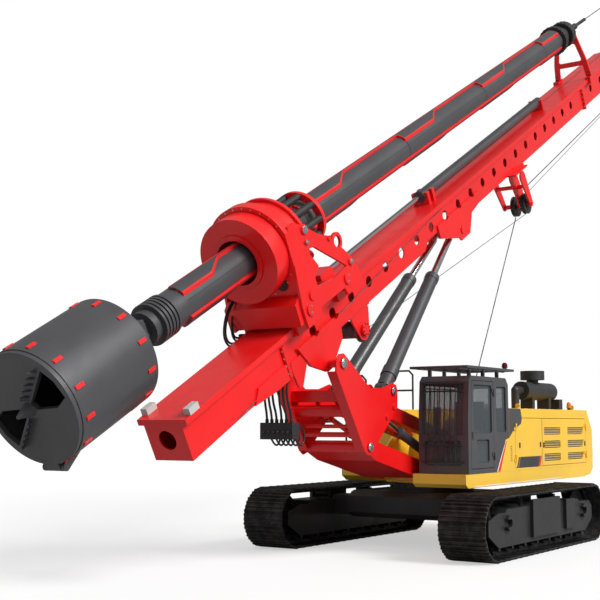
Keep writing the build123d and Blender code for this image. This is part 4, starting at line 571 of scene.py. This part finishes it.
def track_shoes(side):
    """All shoes of one track with their bolts and the chain's links."""
    hand = "left" if side > 0 else "right"
    low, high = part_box(f"track_{hand}")
    shoes = bmesh.new()
    for index in range(SHOES):
        middle, out = loop_frame((index + 0.5) * pitch)
        along = Vector((0, 1, 0)).cross(out) * -1
        rows = []
        for y in (low.y, low.y + END_RUN, high.y - END_RUN, high.y):
            inset = 0.0 if low.y < y < high.y else END_SLOPE
            row = []
            for share, height in shoe_profile:
                lift = min(height, height - inset) if height > 0 else height
                place = middle + along * share * pitch + out * lift
                row.append(shoes.verts.new((place.x, y, place.z)))
            rows.append(row)
        count = len(shoe_profile)
        for first, second in zip(rows, rows[1:]):
            for i in range(count):
                j = (i + 1) % count
                shoes.faces.new((first[i], second[i], second[j], first[j]))
        shoes.faces.new(rows[0][::-1])
        shoes.faces.new(rows[-1])
        for y in (low.y + CHAIN_INSET, high.y - CHAIN_INSET):
            link = [middle + along * a * pitch - out * b for a, b in link_outline]
            ring = []
            for face_y in (y - LINK_HALF, y + LINK_HALF):
                ring.append([shoes.verts.new((p.x, face_y, p.z)) for p in link])
            for i in range(4):
                j = (i + 1) % 4
                shoes.faces.new((ring[0][i], ring[1][i], ring[1][j], ring[0][j]))
            shoes.faces.new(ring[0][::-1])
            shoes.faces.new(ring[1])
            for shift in (-0.055, 0.055):
                for share in (-0.17, 0.17):
                    spot = Vector((0, y + shift, 0)) + middle + along * share * pitch
                    bolt_in(shoes, spot, out, SHOE_BOLT)
    bmesh.ops.recalc_face_normals(shoes, faces=shoes.faces)
    place = Matrix.Translation((slew_axis.x + track_middle_x, 0, 0))
    name = f"track_shoes_{hand}"
    made = piece(name, shoes, track_steel, "undercarriage", place, smooth=30)
    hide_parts(f"track_{hand}")


for side in (1, -1):
    track_shoes(side)

# %% [markdown]
# A pin on this machine ends in a bright cap held by a small plate and bolts. They are the
# brightest dots on the red triangle frame, so each one is built where the construction model
# has its pin.

# %% Pin caps
def pin_cap(mesh, place, side, radius):
    """A turned cap with a raised rim, a hub and three bolts, at a pin's outer end."""
    place = Vector(place)
    out = Vector((0, side, 0))
    rod_in(mesh, place, place + out * 0.010, radius, 32)
    rod_in(mesh, place + out * 0.010, place + out * 0.018, radius * 0.92, 32, radius * 0.80)
    rod_in(mesh, place + out * 0.018, place + out * 0.024, radius * 0.35, 16)
    for turn in range(3):
        angle = math.radians(90 + 120 * turn)
        spot = place + Vector((math.cos(angle), 0, math.sin(angle))) * radius * 0.58 + out * 0.018
        bolt_in(mesh, spot, out, radius * 0.16)


def from_machine(point):
    """A scene point in the machine's axes."""
    return point - Vector((slew_axis.x, slew_axis.y, 0))


FRAME_FACE = 0.622
CAP_SINK = 0.004
# the joint on each pin's axis, and the cap's radius
triangle_pins = (("mast_tilt", 0.080), ("mast_barrel_hinge", 0.066), ("triangle_hinge", 0.068))
caps = bmesh.new()
for joint, radius in triangle_pins:
    spot = from_machine(Vector(joints[joint]["pos_m"]))
    for side in (1, -1):
        pin_cap(caps, (spot.x, side * (FRAME_FACE - CAP_SINK), spot.z), side, radius)
piece("triangle_pin_caps", caps, bright_steel, "triangle")

# %% [markdown]
# The hood's rear door breathes through two columns of openings. Behind their slats a dark
# perforated sheet keeps leaves out, so the openings look grey and not black.

# %% Louvre screens
HOOD_FACE = 1.550
# rear x, front x, how far the lower rear corner stands forward
LOUVRE_COLUMNS = ((-2.190, -1.410, 0.0), (-3.420, -2.560, 0.080))
LOUVRE_ROWS = ((1.420, 1.550), (1.650, 1.780), (1.890, 2.020))
SCREEN_EDGE = 0.006
SCREEN_DEPTH = (0.026, 0.020)


def perforated(name, sheet_colour, hole_colour, pitch_m):
    """A painted sheet punched with a square grid of round holes."""
    material, tree, shader = new_finish(name, 0.5)
    place = tree.nodes.new("ShaderNodeTexCoord")
    grid = tree.nodes.new("ShaderNodeVectorMath")
    grid.operation = "SCALE"
    grid.inputs["Scale"].default_value = 1.0 / pitch_m
    tree.links.new(place.outputs["Object"], grid.inputs[0])
    cell = tree.nodes.new("ShaderNodeVectorMath")
    cell.operation = "FRACTION"
    tree.links.new(grid.outputs[0], cell.inputs[0])
    middle = tree.nodes.new("ShaderNodeVectorMath")
    middle.operation = "SUBTRACT"
    middle.inputs[1].default_value = (0.5, 0.5, 0.5)
    tree.links.new(cell.outputs[0], middle.inputs[0])
    flat = tree.nodes.new("ShaderNodeVectorMath")
    flat.operation = "MULTIPLY"
    flat.inputs[1].default_value = (1.0, 0.0, 1.0)
    tree.links.new(middle.outputs[0], flat.inputs[0])
    away = tree.nodes.new("ShaderNodeVectorMath")
    away.operation = "LENGTH"
    tree.links.new(flat.outputs[0], away.inputs[0])
    hole = spread(tree, away.outputs["Value"], 0.30, 0.34, 1.0, 0.0)
    tree.links.new(blend_colours(tree, hole, sheet_colour, hole_colour), shader.inputs["Base Color"])
    return material


screen_sheet = perforated("screen_sheet", (0.20, 0.19, 0.17), (0.02, 0.02, 0.02), 0.020)
screens = bmesh.new()
for rear, fore, slant in LOUVRE_COLUMNS:
    for bottom, top in LOUVRE_ROWS:
        outline = [
            (rear + slant + SCREEN_EDGE, bottom + SCREEN_EDGE),
            (fore - SCREEN_EDGE, bottom + SCREEN_EDGE),
            (fore - SCREEN_EDGE, top - SCREEN_EDGE),
            (rear + SCREEN_EDGE, top - SCREEN_EDGE),
        ]
        plate_in(screens, outline, [HOOD_FACE - depth for depth in SCREEN_DEPTH])
piece("louvre_screens", screens, screen_sheet, "hood_leaf_rear")

# %% [markdown]
# Painted bands and blank plates are thin sheets on the panel; the thin white line along the skirt is a painted
# highlight. The sign keeps its outline, a dark plate with a red end and two slanted bars, and stays blank.

# %% Bands and the blank sign
SHEET = 0.003
white_paint = paint("white_paint", (0.80, 0.80, 0.78), 0.35, 0.4, 0.03, 0.0)
sign_black = paint("sign_black", (0.016, 0.016, 0.018), 0.35, 0.4, 0.03, 0.0)
FACE = (HOOD_FACE, HOOD_FACE + SHEET)
# piece: its finish, the body it rides on, and its outline
trims = {
    "sign_plate": (
        sign_black,
        "hood_leaf_front",
        [(-1.12, 1.335), (-0.235, 1.335), (-0.33, 1.52), (-1.20, 1.52)],
    ),
    "sign_end": (
        red_paint,
        "hood_leaf_front",
        [(-1.20, 1.335), (-1.13, 1.335), (-1.21, 1.52), (-1.28, 1.52)],
    ),
    "sign_bar": (
        sign_black,
        "hood_leaf_front",
        [(-0.215, 1.335), (-0.165, 1.335), (-0.262, 1.52), (-0.312, 1.52)],
    ),
    "cab_band_red": (
        red_paint,
        "upper",
        [(0.240, 1.795), (0.275, 1.795), (0.615, 1.300), (0.520, 1.300)],
    ),
    "cab_band_white": (
        white_paint,
        "upper",
        [(0.276, 1.795), (0.290, 1.795), (0.655, 1.300), (0.622, 1.300)],
    ),
    "shoulder_panel": (
        charcoal_paint,
        "upper",
        [(0.124, 2.345), (-0.35, 2.345), (-0.41, 2.18), (-0.37, 2.09), (-0.02, 1.96), (0.124, 1.86)],
    ),
    # a thin white sheet along the skirt's lower edge: a painted highlight line
    "skirt_painted_highlight": (white_paint, "upper", [(1.50, 1.105), (-2.18, 1.105), (-2.18, 1.090), (1.50, 1.090)]),
}
for name, (finish, body, outline) in trims.items():
    band = bmesh.new()
    plate_in(band, outline, FACE)
    piece(name, band, finish, body)

# %% [markdown]
# Small things that make a hood a hood: two paddle latches in each door, a column of short slots
# ahead of them drawn as thin black sheets of painted shade, and lift eyes on the roof.

# %% Latches and slots
LATCH_HALF_X, LATCH_HALF_Z, LATCH_RISE = 0.022, 0.045, 0.010
for door, z, ends in (("front", 1.72, (-0.300, -1.220)), ("rear", 1.71, (-1.370, -3.460))):
    latches = bmesh.new()
    for x in ends:
        box_in(latches, (x - LATCH_HALF_X, x + LATCH_HALF_X), (HOOD_FACE, HOOD_FACE + LATCH_RISE),
               (z - LATCH_HALF_Z, z + LATCH_HALF_Z))
    piece(f"hood_latch_{door}", latches, black_plastic, f"hood_leaf_{door}", round_by=0.004)
SLOTS, SLOT_LOW, SLOT_STEP, SLOT_HIGH = 9, 1.46, 0.030, 0.010
# each slot is a thin black sheet on the hood's face: painted shade where the vent opening would be dark inside
slot_shade_sheets = bmesh.new()
for row in range(SLOTS):
    z = SLOT_LOW + SLOT_STEP * row
    box_in(slot_shade_sheets, (0.02, 0.09), (HOOD_FACE, HOOD_FACE + 0.001), (z, z + SLOT_HIGH))
piece("hood_slot_painted_shade", slot_shade_sheets, sign_black, "upper")
eyes = bmesh.new()
for x in (-0.60, -3.20):
    for y in (0.80, 1.40):
        rod_in(eyes, (x, y, 2.350), (x, y, 2.365), 0.040, 20)
        rod_in(eyes, (x - 0.012, y, 2.400), (x + 0.012, y, 2.400), 0.045, 24)
piece("lift_eyes", eyes, yellow_paint, "upper")

# %% [markdown]
# The cab's front is guarded by a frame of thin bars, and a second frame stands behind its
# right window. A beacon stands at the roof's rear corner.

# %% Cab guards and beacon
CAB_FRONT = 1.710
GUARD_AHEAD = 0.030
GUARD_BEND, GUARD_TOP = 2.14, 2.72
GUARD_SIDES = (0.74, 1.47)
BAR, CROSS_BAR = 0.009, 0.012
guard = bmesh.new()
ahead = CAB_FRONT + GUARD_AHEAD
for y in (0.87, 0.96, 1.05, 1.14, 1.24, 1.33):
    rod_in(guard, (ahead, y, 1.46), (ahead, y, GUARD_BEND), BAR, 10)
    rod_in(guard, (ahead, y, GUARD_BEND), (CAB_FRONT - 0.020, y, GUARD_TOP), BAR, 10)
right, left = GUARD_SIDES
for z, x in ((1.48, GUARD_AHEAD), (1.74, GUARD_AHEAD), (2.60, -0.008), (GUARD_TOP, -0.018)):
    rod_in(guard, (CAB_FRONT + x, right, z), (CAB_FRONT + x, left, z), CROSS_BAR, 10)
for y in GUARD_SIDES:
    for z, x in ((1.48, GUARD_AHEAD), (GUARD_TOP, -0.018)):
        rod_in(guard, (CAB_FRONT + x - 0.045, y, z), (CAB_FRONT + x, y, z), CROSS_BAR, 10)
piece("cab_front_guard", guard, black_paint, "upper")
SIDE_GUARD = 0.655
guard = bmesh.new()
for x in (0.50, 0.75, 1.00, 1.25):
    rod_in(guard, (x, SIDE_GUARD, 1.93), (x, SIDE_GUARD, 2.68), BAR, 10)
for z in (1.95, 2.32, 2.66):
    rod_in(guard, (0.32, SIDE_GUARD, z), (1.54, SIDE_GUARD, z), 0.010, 10)
piece("cab_side_guard", guard, black_paint, "upper")
beacon_red = dull("beacon_red", (0.10, 0.006, 0.006), 0.2, 40.0, 0.0002)
BEACON_X, BEACON_Y = 0.20, 1.52
beacon = bmesh.new()
rod_in(beacon, (BEACON_X, BEACON_Y, 2.99), (BEACON_X, BEACON_Y, 3.03), 0.035, 16)
rod_in(beacon, (BEACON_X, BEACON_Y, 3.03), (BEACON_X, BEACON_Y, 3.09), 0.052, 24, 0.046)
rod_in(beacon, (BEACON_X, BEACON_Y, 3.09), (BEACON_X, BEACON_Y, 3.115), 0.046, 24, 0.022)
piece("cab_beacon", beacon, beacon_red, "upper")

# %% [markdown]
# Taut ropes run from the winches over the sheaves. They are straight lines between their
# points, so each is a chain of straight runs, and each rides on the mast.

# %% Ropes
ROPE = 0.022
THIN_ROPE = 0.012
winch_hinge = from_machine(Vector(joints["main_winch"]["pos_m"]))
winch_end = into_mast(MACHINE @ Vector((winch_hinge.x + 0.27, 0.0, winch_hinge.z + 0.16)))
# rope: its thickness and its points (n, y, s) in the mast's axes
rope_runs = {
    "rope_winch_to_guide": (ROPE, [tuple(winch_end), (-1.085, 0.0, 11.90)]),
    "rope_guide_to_head": (ROPE, [(-0.70, 0.0, 12.15), (-0.63, 0.0, 20.40)]),
    "rope_auxiliary": (THIN_ROPE, [(-0.44, 0.12, 4.72), (-0.96, 0.33, 11.70)]),
    "rope_auxiliary_to_head": (THIN_ROPE, [(-0.60, 0.33, 11.95), (-0.60, 0.10, 20.40)]),
    "rope_kelly": (ROPE, [(1.72, 0.0, 18.58), (1.72, 0.0, 20.50)]),
    "rope_mast_side": (THIN_ROPE, [(0.02, 0.320, 1.05), (0.46, 0.320, 8.30)]),
    "rope_mast_front": (THIN_ROPE, [(0.595, -0.14, 8.9), (0.595, -0.14, 20.0)]),
}
for name, (thickness, points) in rope_runs.items():
    tube(name, points, thickness / 2, rope_steel, "mast", MAST, tight=True)
print("ropes", len(rope_runs))

# %% [markdown]
# The kelly bar's drive keys step between a narrow and a wide stretch. Red paint follows their
# stepped edge, a black ring marks where each wide stretch begins, and a seam runs between two
# keys. All of them are ribbons that lie on the round bar.

# %% Marks on the kelly bar
KEY_TURN = 8.0
KEY_HALF, KEY_WIDE = 0.032, 0.190
KEY_LOW, KEY_HIGH = 0.90, 16.00
KEY_STEPS = (0.350, 3.980, 7.610, 11.240, 14.870)
WIDE_RUN, SLOPE_END = 1.240, 1.630
LIFT = 0.0012
EDGE_WIDTH = 0.018


def on_bar(radius, across, along, turn):
    """A place on the kelly bar, from a distance across a key's middle line and one along."""
    angle = math.radians(turn) + math.asin(across / radius)
    return (KELLY_N + radius * math.cos(angle), radius * math.sin(angle), along)


def ribbon_in(mesh, radius, route, width, turn):
    """Adds a flat ribbon along (across, along) points that lies on the round bar."""
    for (a0, s0), (a1, s1) in zip(route, route[1:]):
        way = Vector((a1 - a0, s1 - s0)).normalized()
        side = Vector((-way.y, way.x)) * width / 2
        steps = 1 + int(abs(a1 - a0) / 0.03)
        rows = []
        for step in range(steps + 1):
            share = step / steps
            middle = Vector((a0 + (a1 - a0) * share, s0 + (s1 - s0) * share))
            rows.append([mesh.verts.new(on_bar(radius, *(middle + side * sign), turn)) for sign in (-1, 1)])
        for low, high in zip(rows, rows[1:]):
            mesh.faces.new((low[0], low[1], high[1], high[0]))


edge_in, wide_in = KEY_HALF - EDGE_WIDTH / 2, KEY_WIDE - EDGE_WIDTH / 2
stepped = [(edge_in, KEY_LOW)]
for low in KEY_STEPS:
    if low > KEY_LOW:
        stepped += [(edge_in, low + 0.014), (wide_in, low + 0.014)]
    else:
        stepped = [(wide_in, KEY_LOW)]
    if low + SLOPE_END < KEY_HIGH:
        stepped += [(wide_in, low + WIDE_RUN), (edge_in, low + SLOPE_END)]
stepped.append((wide_in, KEY_HIGH))
marks = bmesh.new()
for turn in (KEY_TURN, KEY_TURN + 120, KEY_TURN + 240):
    ribbon_in(marks, KEY_RADIUS + LIFT, stepped, EDGE_WIDTH, turn)
    straight = [(-edge_in, KEY_LOW), (-edge_in, KEY_HIGH)]
    ribbon_in(marks, KEY_RADIUS + LIFT, straight, EDGE_WIDTH, turn)
piece("kelly_key_edges", marks, red_paint, "kelly", MAST)
rings = bmesh.new()
for turn in (KEY_TURN + 60, KEY_TURN + 180, KEY_TURN + 300):
    for low in KEY_STEPS:
        if low > KEY_LOW:
            ribbon_in(rings, KELLY_RADIUS + LIFT, [(-0.060, low + 0.02), (0.215, low + 0.02)], 0.030, turn)
    ribbon_in(rings, KELLY_RADIUS + LIFT, [(0.02, KEY_LOW), (0.02, KEY_HIGH)], 0.007, turn)
piece("kelly_marks", rings, sign_black, "kelly", MAST)

# %% [markdown]
# The bar's head has two flanges with short ribs round their rims, bolted through.

# %% Ribs and bolts of the bar's head
ribs = bmesh.new()
for low, high, radius in ((16.115, 16.255, 0.330), (16.715, 16.925, 0.300)):
    for index in range(24):
        turn = math.radians(15 * index)
        middle = Vector((KELLY_N + radius * math.cos(turn), radius * math.sin(turn), 0))
        rod_in(ribs, middle + Vector((0, 0, low)), middle + Vector((0, 0, high)), 0.012, 8)
        spot = Vector((KELLY_N, 0, 0)) + (middle - Vector((KELLY_N, 0, 0))) * 0.86
        bolt_in(ribs, spot + Vector((0, 0, low - 0.015)), (0, 0, -1), 0.018)
piece("kelly_head_ribs", ribs, black_plastic, "kelly", MAST)

# %% [markdown]
# Bolts hold the mast's sections together, the gearbox on its carriage, the guide on its shoes
# and the winch in its plates.

# %% Bolts of the mast
JOINT_BOLT, JOINT_BOLT_Y = 0.017, 0.335
SEAT_BOLTS, SEAT_CIRCLE = 28, 0.668
WINCH_BOLTS, WINCH_CIRCLE = 8, 0.086
bolts = bmesh.new()
for s_low, s_high in ((2.3597, 2.4200), (16.4197, 16.4800)):
    for row in range(4):
        n = 0.03 + 0.115 * row
        for side in (1, -1):
            bolt_in(bolts, (n, side * JOINT_BOLT_Y, s_low), (0, 0, -1), JOINT_BOLT)
            bolt_in(bolts, (n, side * JOINT_BOLT_Y, s_high), (0, 0, 1), JOINT_BOLT)
piece("mast_joint_bolts", bolts, bright_steel, "mast", MAST)
bolts = bmesh.new()
for index in range(SEAT_BOLTS):
    turn = 2 * math.pi * (index + 0.5) / SEAT_BOLTS
    n, y = KELLY_N + SEAT_CIRCLE * math.cos(turn), SEAT_CIRCLE * math.sin(turn)
    # the seat is cut off at the arms
    if abs(y) < 0.63:
        bolt_in(bolts, (n, y, 2.762), (0, 0, -1), 0.013)
for n, s_middle in ((0.785, 2.851), (0.790, 3.983)):
    for side in (1, -1):
        for shift in (-0.045, 0.045):
            bolt_in(bolts, (n + shift, side * 0.684, s_middle + shift * 0.3), (0, side, 0), 0.018)
piece("carriage_bolts", bolts, bright_steel, "crowd_carriage", MAST)
bolts = bmesh.new()
for side in (1, -1):
    for n in (0.640, 0.720):
        for y in (0.385, 0.425):
            bolt_in(bolts, (n, side * y, 16.980), (0, 0, -1), 0.016)
piece("guide_bolts", bolts, dark_steel, "guide", MAST)
bolts = bmesh.new()
winch = into_mast(Vector(joints["auxiliary_winch"]["pos_m"]))
for side in (1, -1):
    for index in range(WINCH_BOLTS):
        turn = 2 * math.pi * index / WINCH_BOLTS
        n, s = winch.x + WINCH_CIRCLE * math.cos(turn), winch.z + WINCH_CIRCLE * math.sin(turn)
        bolt_in(bolts, (n, side * 0.340, s), (0, side, 0), 0.014)
piece("auxiliary_winch_bolts", bolts, dark_steel, "mast", MAST)

# %% [markdown]
# The carriage's pins end in bright caps, like those of the triangle frame, and a round black
# cover closes its front plate.

# %% Pins of the carriage
caps = bmesh.new()
for n, s_middle, radius in ((1.844, 3.228, 0.062), (1.666, 3.198, 0.034), (0.978, 4.180, 0.045)):
    for side in (1, -1):
        pin_cap(caps, (n, side * 0.6835, s_middle), side, radius)
piece("carriage_pin_caps", caps, bright_steel, "crowd_carriage", MAST)
COVER_N, COVER_Y = 1.22, 0.38
cover = bmesh.new()
rod_in(cover, (COVER_N, COVER_Y, 2.762), (COVER_N, COVER_Y, 2.742), 0.092, 32)
rod_in(cover, (COVER_N, COVER_Y, 2.742), (COVER_N, COVER_Y, 2.728), 0.066, 32, 0.058)
piece("carriage_cover", cover, black_plastic, "crowd_carriage", MAST, round_by=0.004)

# %% [markdown]
# Four hoses bring oil to the rotary drive in loops that hang on the mast's right side, and a
# bundle of six drops from the mast's back to a junction block.

# %% Hoses
MAST_HOSES = 6
# (n, s) points of each drive hose
drive_routes = (
    ((1.14, 2.770), (1.12, 2.66), (0.99, 2.36), (0.70, 2.14), (0.47, 2.28), (0.46, 2.66)),
    ((1.08, 2.770), (1.06, 2.66), (0.94, 2.42), (0.69, 2.23), (0.50, 2.34), (0.49, 2.66)),
    ((1.00, 2.770), (0.97, 2.69), (0.80, 2.52), (0.62, 2.44), (0.49, 2.50), (0.46, 2.66)),
    ((0.94, 2.770), (0.91, 2.71), (0.78, 2.58), (0.62, 2.51), (0.52, 2.56), (0.50, 2.66)),
)
for index, places in enumerate(drive_routes):
    y = -0.44 - 0.035 * index
    route = [(n, y, s) for n, s in places]
    tube(f"drive_hose_{index + 1}", route, 0.016, hose_rubber, "crowd_carriage", MAST)
hose_plate = bmesh.new()
box_in(hose_plate, (0.41, 0.54), (-0.57, -0.415), (2.655, 2.689))
piece("drive_hose_plate", hose_plate, black_paint, "crowd_carriage", MAST)
hose_ys = [-0.20 + 0.085 * index for index in range(MAST_HOSES)]
for index, y in enumerate(hose_ys):
    bow = 0.02 * (index % 3)
    route = [
        (4.74, y, 2.84), (4.78 + bow, y, 2.66), (4.76 + bow, y, 2.40), (4.70, y, 2.20), (4.70, y, 2.08),
    ]
    tube(f"mast_hose_{index + 1}", route, 0.017, hose_rubber, "mast")
    loop = [
        (4.62, y, 1.90), (4.54, y, 1.80), (4.44, y, 1.76), (4.36, y, 1.86), (4.40, y, 2.02), (4.52, y, 2.06),
        (4.62, y, 2.02),
    ]
    tube(f"junction_loop_{index + 1}", loop, 0.015, hose_rubber, "mast")
junction = bmesh.new()
box_in(junction, (4.60, 4.78), (-0.27, 0.30), (1.86, 2.10))
for y in hose_ys:
    rod_in(junction, (4.70, y, 2.10), (4.70, y, 2.15), 0.026, 12)
    rod_in(junction, (4.78, y, 1.96), (4.82, y, 1.96), 0.022, 12)
piece("junction_block", junction, black_paint, "mast", round_by=0.006)
print("hoses", len(drive_routes) + 2 * MAST_HOSES)

# %% [markdown]
# An amber lamp stands on the roof of the hood, near its rear.

# %% Lamp
amber = dull("amber_lens", (0.70, 0.22, 0.02), 0.2, 40.0, 0.0002)
LAMP_X, LAMP_Y = -2.90, 1.46
lamp_post = bmesh.new()
rod_in(lamp_post, (LAMP_X, LAMP_Y, 2.350), (LAMP_X, LAMP_Y, 2.385), 0.034, 20)
piece("hood_lamp_base", lamp_post, black_plastic, "upper")
lens = bmesh.new()
rod_in(lens, (LAMP_X, LAMP_Y, 2.386), (LAMP_X, LAMP_Y, 2.47), 0.046, 24, 0.040)
rod_in(lens, (LAMP_X, LAMP_Y, 2.47), (LAMP_X, LAMP_Y, 2.50), 0.040, 24, 0.018)
piece("hood_lamp", lens, amber, "upper")
